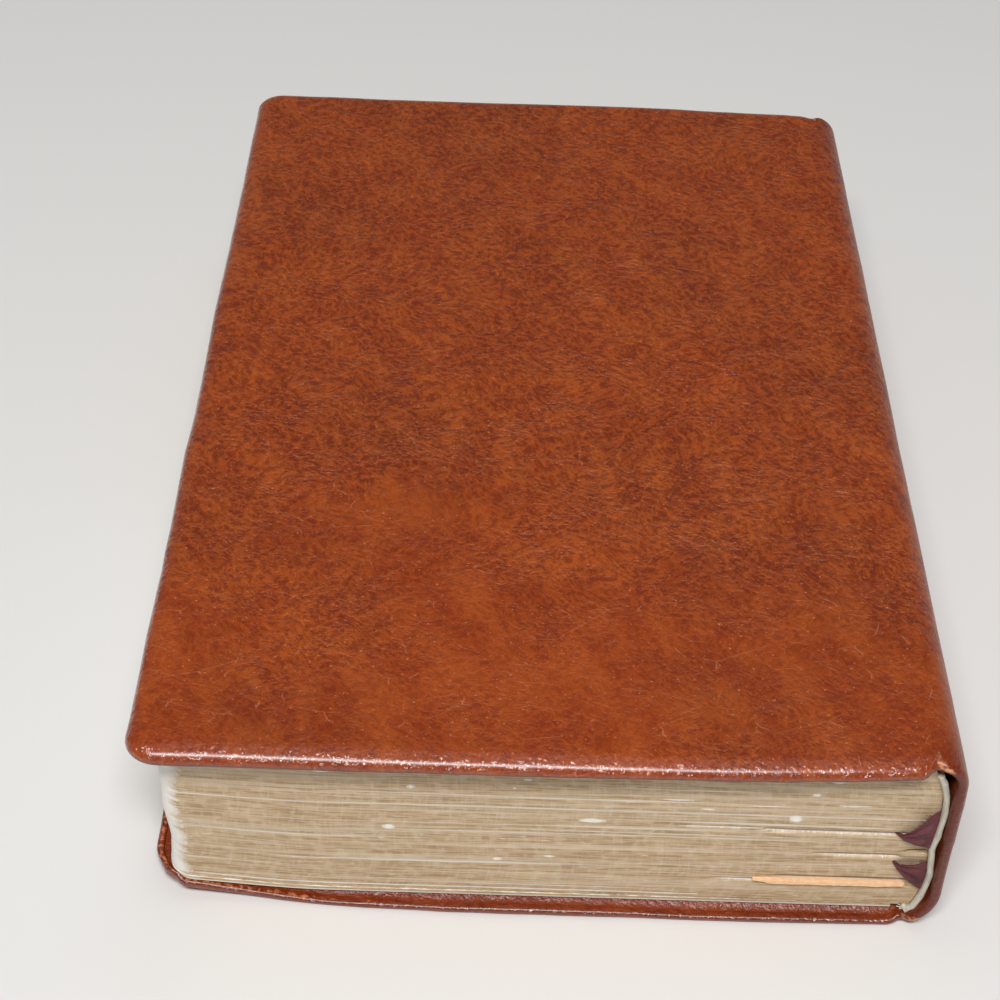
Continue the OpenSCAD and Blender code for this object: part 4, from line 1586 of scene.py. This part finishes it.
@dataclass(frozen=True)
class Studio:
    """Camera, lamps, world and floor. Lengths are metres.

    The turned edge of the front cover mirrors the main lamp, which also shades the leaves below that edge.
    """

    camera_at: Vector = Vector((-0.0114, -0.3513, 0.3062))
    target: Vector = Vector((-0.0093, 0.0086, 0.0))
    roll_deg: float = 2.02
    focal_px: float = 2050.0
    frame_px: float = 1000.0
    sensor_mm: float = 36.0
    lamps: tuple[Lamp, ...] = (
        Lamp("Main lamp", Vector((-0.1, -0.88, 1.33)), (0.8, 0.26), 22.0),
        Lamp("Ceiling lamp", Vector((0.1, 0.2, 1.5)), (0.9, 0.9), 2.2),
    )
    world_tone: Colour = (1.0, 0.99, 0.975)
    world_light: float = 0.15
    floor_tone: Colour = (0.80, 0.79, 0.77)
    floor_reach: float = 6.0

    def set_camera(self) -> None:
        """Camera at the photograph's place, with its lens and its small roll."""
        data = bpy.data.cameras.new("Camera")
        data.sensor_width = self.sensor_mm
        data.lens = self.focal_px / self.frame_px * self.sensor_mm
        data.clip_start, data.clip_end = 0.01, 50.0
        camera = bpy.data.objects.new("Camera", data)
        forward = (self.target - self.camera_at).normalized()
        right = forward.cross(Vector((0.0, 0.0, 1.0))).normalized()
        up = right.cross(forward)
        roll = math.radians(self.roll_deg)
        turned = right * math.cos(roll) + up * math.sin(roll)
        upright = up * math.cos(roll) - right * math.sin(roll)
        matrix = Matrix((turned, upright, -forward)).transposed().to_4x4()
        matrix.translation = self.camera_at
        camera.matrix_world = matrix
        bpy.context.scene.collection.objects.link(camera)
        bpy.context.scene.camera = camera

    def light(self) -> None:
        """Both lamps and the world."""
        for lamp in self.lamps:
            lamp.hang()
        world = bpy.data.worlds.new("Plain world")
        world.use_nodes = True
        background = world.node_tree.nodes["Background"]
        background.inputs["Color"].default_value = (*self.world_tone, 1.0)
        background.inputs["Strength"].default_value = self.world_light
        bpy.context.scene.world = world

    def lay_floor(self) -> None:
        """Plain pale floor under the book."""
        material, _, shader = new_material("Pale floor")
        shader.inputs["Base Color"].default_value = (*self.floor_tone, 1.0)
        shader.inputs["Roughness"].default_value = 0.9
        reach = self.floor_reach
        mesh = bpy.data.meshes.new("Floor")
        corners = [(-reach, -reach, 0.0), (reach, -reach, 0.0), (reach, reach, 0.0), (-reach, reach, 0.0)]
        mesh.from_pydata(corners, [], [(0, 1, 2, 3)])
        mesh.materials.append(material)
        floor = bpy.data.objects.new("Floor", mesh)
        bpy.context.scene.collection.objects.link(floor)


@dataclass(frozen=True)
class LeatherBook:
    """The whole book: its skins, leaves, bands, ribbons, slip and endpapers, and their finishes."""

    sizes: BookSizes
    nodes: dict[str, bpy.types.Object]
    finishes: dict[Slot, bpy.types.Material]

    def dress(self, piece: bpy.types.Object, slot: Slot, *replaced: str) -> bpy.types.Object:
        """Give a new piece the finish of its slot, and hide the nodes that it stands for."""
        piece.data.materials.clear()
        piece.data.materials.append(self.finishes[slot])
        if replaced:
            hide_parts(*replaced)
        return piece

    def skins(self) -> None:
        """Front and back skins, which meet along the middle of the spine and curve round at their hinges."""
        s = self.sizes
        seam_z = 24.0
        front_r, back_r = s.spine_x - s.front_hinge[0], 9.5
        over = SkinSection(s.fore_x, s.front_hinge[0], front_r, level=s.top_z, inward=-1.0)
        under = SkinSection(s.back_fore_x - 0.3, s.spine_x - back_r, back_r, level=0.0, inward=1.0)
        hide = over.run_at(seam_z) + under.run_at(seam_z)
        front = LeatherSkin(
            name="front_skin", section=over, edge=TurnedEdge(), half_h=s.half_h + 1.6, corner_r=6.2,
            hinge_run=over.flat_run, seam_run=over.run_at(seam_z), lip_h=3.2, low_lip_h=3.2, lip_fall=12.0,
            bend_share=0.72, bend_aspect=1.7, rim_t=2.4, sag=0.4, head_in=0.0, corner_in=0.0, hinge_in=2.1,
            spine_in=3.1, polish_row=-10.0, shade_on=0.8, curled=False, hide_start=0.0, hide_way=1.0,
            rim_wear=0.16, corner_wear=0.22, seed=21,
        )
        back = LeatherSkin(
            name="back_skin", section=under, edge=TurnedEdge(inner_w=2.2), half_h=s.half_h, corner_r=6.5,
            hinge_run=s.back_hinge[0] - 2.2 - under.fore_x, seam_run=under.run_at(seam_z), lip_h=3.1,
            low_lip_h=1.55, lip_fall=7.0, bend_share=0.5, bend_aspect=1.8, rim_t=1.4, sag=0.0, head_in=1.7,
            corner_in=2.4, hinge_in=0.5, spine_in=1.5, polish_row=-4.0, shade_on=0.75, curled=True,
            hide_start=hide, hide_way=-1.0, rim_wear=0.1, corner_wear=0.52, seed=33,
        )
        upper = self.dress(front.build(), Slot.LEATHER, "front_leather", "spine_leather")
        lower = self.dress(back.build(), Slot.LEATHER, "back_leather", "spine_leather")
        self.cards(over, under, front.seam_run, back.seam_run)
        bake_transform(upper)
        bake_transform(lower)

    def cards(self, over: SkinSection, under: SkinSection, over_seam: float, under_seam: float) -> None:
        """Cards inside the covers and the spine, and the paper pasted inside the back cover."""
        s = self.sizes
        card = {"depth": 1.4, "thickness": 0.8}
        thin = {"half_h": 110.0, "depth": 1.22, "thickness": 0.4}
        front_end, back_end = s.front_paper_x - over.fore_x, s.back_paper_x - under.fore_x
        front = InnerSheet("front_card", over, 3.7, front_end, 108.8, corner_r=4.0, **card)
        back = InnerSheet("back_card", under, 4.2, back_end, 105.5, corner_r=5.0, curled=True, **card)
        paper = InnerSheet(
            "back_endpaper", under, 14.3, back_end, 98.5, depth=1.98, thickness=0.26, corner_r=1.0,
            curled=True,
        )
        upper = InnerSheet("upper_spine_card", over, over.flat_run + 2.0, over_seam, **thin)
        lower = InnerSheet("lower_spine_card", under, under.flat_run + 9.0, under_seam, **thin)
        for sheet, slot, node, body in (
            (front, Slot.BOARD, "front_board", Body.FRONT),
            (back, Slot.BOARD, "back_board", Body.BACK),
            (paper, Slot.ENDPAPER, "back_pastedown", Body.BACK),
            (upper, Slot.BOARD, "spine_card", Body.LEAVES),
            (lower, Slot.BOARD, "spine_card", Body.LEAVES),
        ):
            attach(self.dress(sheet.build(), slot, node), body.value)

    def band_line(self) -> Array:
        """X and Z of the middle of the headband, from its top to its foot."""
        return np.array([
            [68.6, 40.0], [69.7, 37.5], [70.55, 34.4], [70.95, 30.0], [70.75, 25.0], [70.35, 20.5],
            [70.6, 16.8], [70.95, 12.5], [70.5, 8.8], [69.9, 5.9], [69.0, 3.6], [67.9, 2.9],
        ])

    def leaves(self) -> None:
        """Text block and blank leaves."""
        s = self.sizes
        back = self.band_line() - np.array([0.5, 0.0])
        scuffs = (
            Scuff(-9.2, 36.6, 3.2, 0.75), Scuff(-24.0, 32.0, 0.9, 0.6), Scuff(-5.8, 32.4, 0.5, 0.35),
            Scuff(-3.2, 34.6, 1.1, 0.3), Scuff(14.2, 36.0, 0.35, 0.9), Scuff(23.5, 30.6, 4.2, 0.2),
            Scuff(8.6, 24.2, 3.0, 0.7), Scuff(1.2, 14.2, 1.3, 0.35), Scuff(-8.2, 13.0, 1.2, 0.5),
            Scuff(-28.0, 21.0, 1.4, 0.8), Scuff(45.0, 26.5, 1.4, 1.1), Scuff(29.0, 28.4, 1.6, 0.3),
            Scuff(48.0, 33.0, 1.0, 0.5), Scuff(51.5, 36.4, 1.6, 0.3), Scuff(60.2, 38.6, 2.0, 0.25),
            Scuff(40.0, 29.6, 4.6, 0.2), Scuff(55.0, 30.2, 4.4, 0.22), Scuff(-40.0, 35.2, 1.6, 0.3),
        )
        slip_x0, slip_x1 = s.slip_x
        # Openings with a low bare value are darkened with painted shade.
        openings = (
            Opening(38.0, 66.5, 23.0, 0.42, 1.6, 0.95), Opening(48.0, 65.0, 16.9, 0.38, 1.6, 0.95),
            Opening(64.5, 70.2, 18.3, 0.55, 2.0, 0.05), Opening(22.0, 44.0, 23.6, 0.2, 0.4, 0.9),
            Opening(slip_x0 - 9.0, slip_x0 + 3.0, 9.3, 0.3, 0.6, 0.85),
            Opening(slip_x0 + 2.0, slip_x1 + 0.6, s.slip_z + 0.75, 0.26, 1.1, 0.2),
            Opening(slip_x0 + 2.0, slip_x1 + 0.8, s.slip_z - 0.85, 0.3, 1.1, 0.1),
            Opening(-67.0, 30.0, 4.65, 0.14, 0.02, 1.0), Opening(-66.5, -20.0, 19.0, 0.13, 0.05, 0.6),
        )
        block = LeafStack(
            "leaves_block", s, *s.block_z, row_mm=0.22, back=back, relief=0.07, seed=41, scuffs=scuffs,
            openings=openings,
        )
        edge = np.array([[s.leaf_back_x, -1.0], [s.leaf_back_x, s.top_z + 1.0]])
        blank = {"row_mm": 0.1, "back": edge, "relief": 0.06, "head_step": 1.4}
        front = LeafStack("front_blank_leaves", s, *s.front_leaves_z, seed=43, **blank)
        rear = LeafStack("back_blank_leaves", s, *s.back_leaves_z, seed=47, **blank)
        for stack, slot, node in (
            (block, Slot.LEAVES, "text_block"),
            (front, Slot.ENDPAPER, "front_flyleaves"),
            (rear, Slot.ENDPAPER, "back_flyleaves"),
        ):
            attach(self.dress(stack.build(), slot, node), Body.LEAVES.value)

    def bands(self) -> None:
        """Headband and tailband."""
        for name, end, node in (("head_bead", -1.0, "headband"), ("tail_bead", 1.0, "tailband")):
            band = EndBand(name, self.sizes, self.band_line(), end, seed=5 if end < 0 else 6)
            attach(self.dress(band.build(), Slot.CLOTH, node), Body.LEAVES.value)

    def ribbons(self) -> None:
        """Both ribbon markers."""
        upper = RibbonMarker(
            "upper_marker", self.sizes, z=23.0, band_top=(70.2, 30.4), band_foot=(70.5, 20.6), tip_x=63.3,
            tip_z=23.3, bow=0.9, bulge=1.0, bend_r=2.3, drop=8.0, seed=11,
        )
        lower = RibbonMarker(
            "lower_marker", self.sizes, z=16.7, band_top=(70.2, 16.7), band_foot=(69.9, 9.0), tip_x=63.7,
            tip_z=15.6, bow=0.0, bulge=0.9, bend_r=1.8, drop=8.0, seed=13,
        )
        for ribbon, node in ((upper, "ribbon_upper"), (lower, "ribbon_lower")):
            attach(self.dress(ribbon.build(), Slot.RIBBON, node), Body.LEAVES.value)

    def slip(self) -> None:
        """Slip of card."""
        piece = CardSlip("slip_of_card", self.sizes).build()
        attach(self.dress(piece, Slot.SLIP, "card_slip"), Body.LEAVES.value)

    def endpaper_joints(self) -> None:
        """Folded endpapers that close both hinges inside."""
        s = self.sizes
        off = 0.07
        front = EndpaperJoint(
            "front_endpaper_fold", s, s.front_paper_z - off, s.front_leaves_z[1] + off, s.leaf_back_x
        )
        back = EndpaperJoint(
            "back_endpaper_fold", s, s.back_paper_z + off, s.back_leaves_z[0] - off, s.leaf_back_x
        )
        for joint, body in ((front, Body.FRONT), (back, Body.BACK)):
            piece = self.dress(joint.build(), Slot.ENDPAPER)
            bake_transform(piece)

    def finish_nodes(self) -> None:
        """Finish the nodes of the model that stay as they are."""
        kept = {"spine_mull": Slot.CLOTH, "spine_lining": Slot.LINING, "front_pastedown": Slot.ENDPAPER}
        for name, slot in kept.items():
            data = self.nodes[name].data
            data.materials.clear()
            data.materials.append(self.finishes[slot])

    def build(self) -> None:
        """Build every piece in order."""
        for step in (
            self.skins, self.leaves, self.bands, self.ribbons, self.slip, self.endpaper_joints,
            self.finish_nodes,
        ):
            log.info("building %s", step.__name__)
            step()


def make_finishes() -> dict[Slot, bpy.types.Material]:
    """Material for each slot of the record."""
    wine, dark_wine = (0.19, 0.040, 0.052), (0.05, 0.010, 0.016)
    return {
        Slot.LEATHER: GlazedLeather().material(),
        Slot.LEAVES: WornGilt().material(),
        Slot.ENDPAPER: Paper("Endpaper", (0.80, 0.765, 0.68), (0.66, 0.60, 0.49)).material(),
        Slot.LINING: Paper("Lining paper", (0.55, 0.42, 0.28), (0.42, 0.30, 0.18)).material(),
        Slot.BOARD: Card("Flexible card", (0.50, 0.40, 0.28), (0.38, 0.29, 0.19)).material(),
        Slot.CLOTH: WovenCloth("Band cloth", (0.74, 0.70, 0.60), (0.50, 0.44, 0.35)).material(),
        Slot.RIBBON: WovenCloth("Ribbon satin", wine, dark_wine, thread_mm=0.3, rough=0.38).material(),
        Slot.SLIP: Card("Tan card", (0.95, 0.62, 0.37), (0.88, 0.53, 0.30)).material(),
    }


def main() -> None:
    """Load the frame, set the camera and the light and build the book."""
    logging.basicConfig(level=logging.INFO, format="%(name)s: %(message)s")
    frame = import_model()
    bpy.context.scene.view_settings.view_transform = "Standard"
    studio = Studio()
    studio.set_camera()
    studio.light()
    studio.lay_floor()
    sizes = BookSizes.from_frame(frame["joints"])
    LeatherBook(sizes, frame["nodes"], make_finishes()).build()


if __name__ == "__main__":
    main()
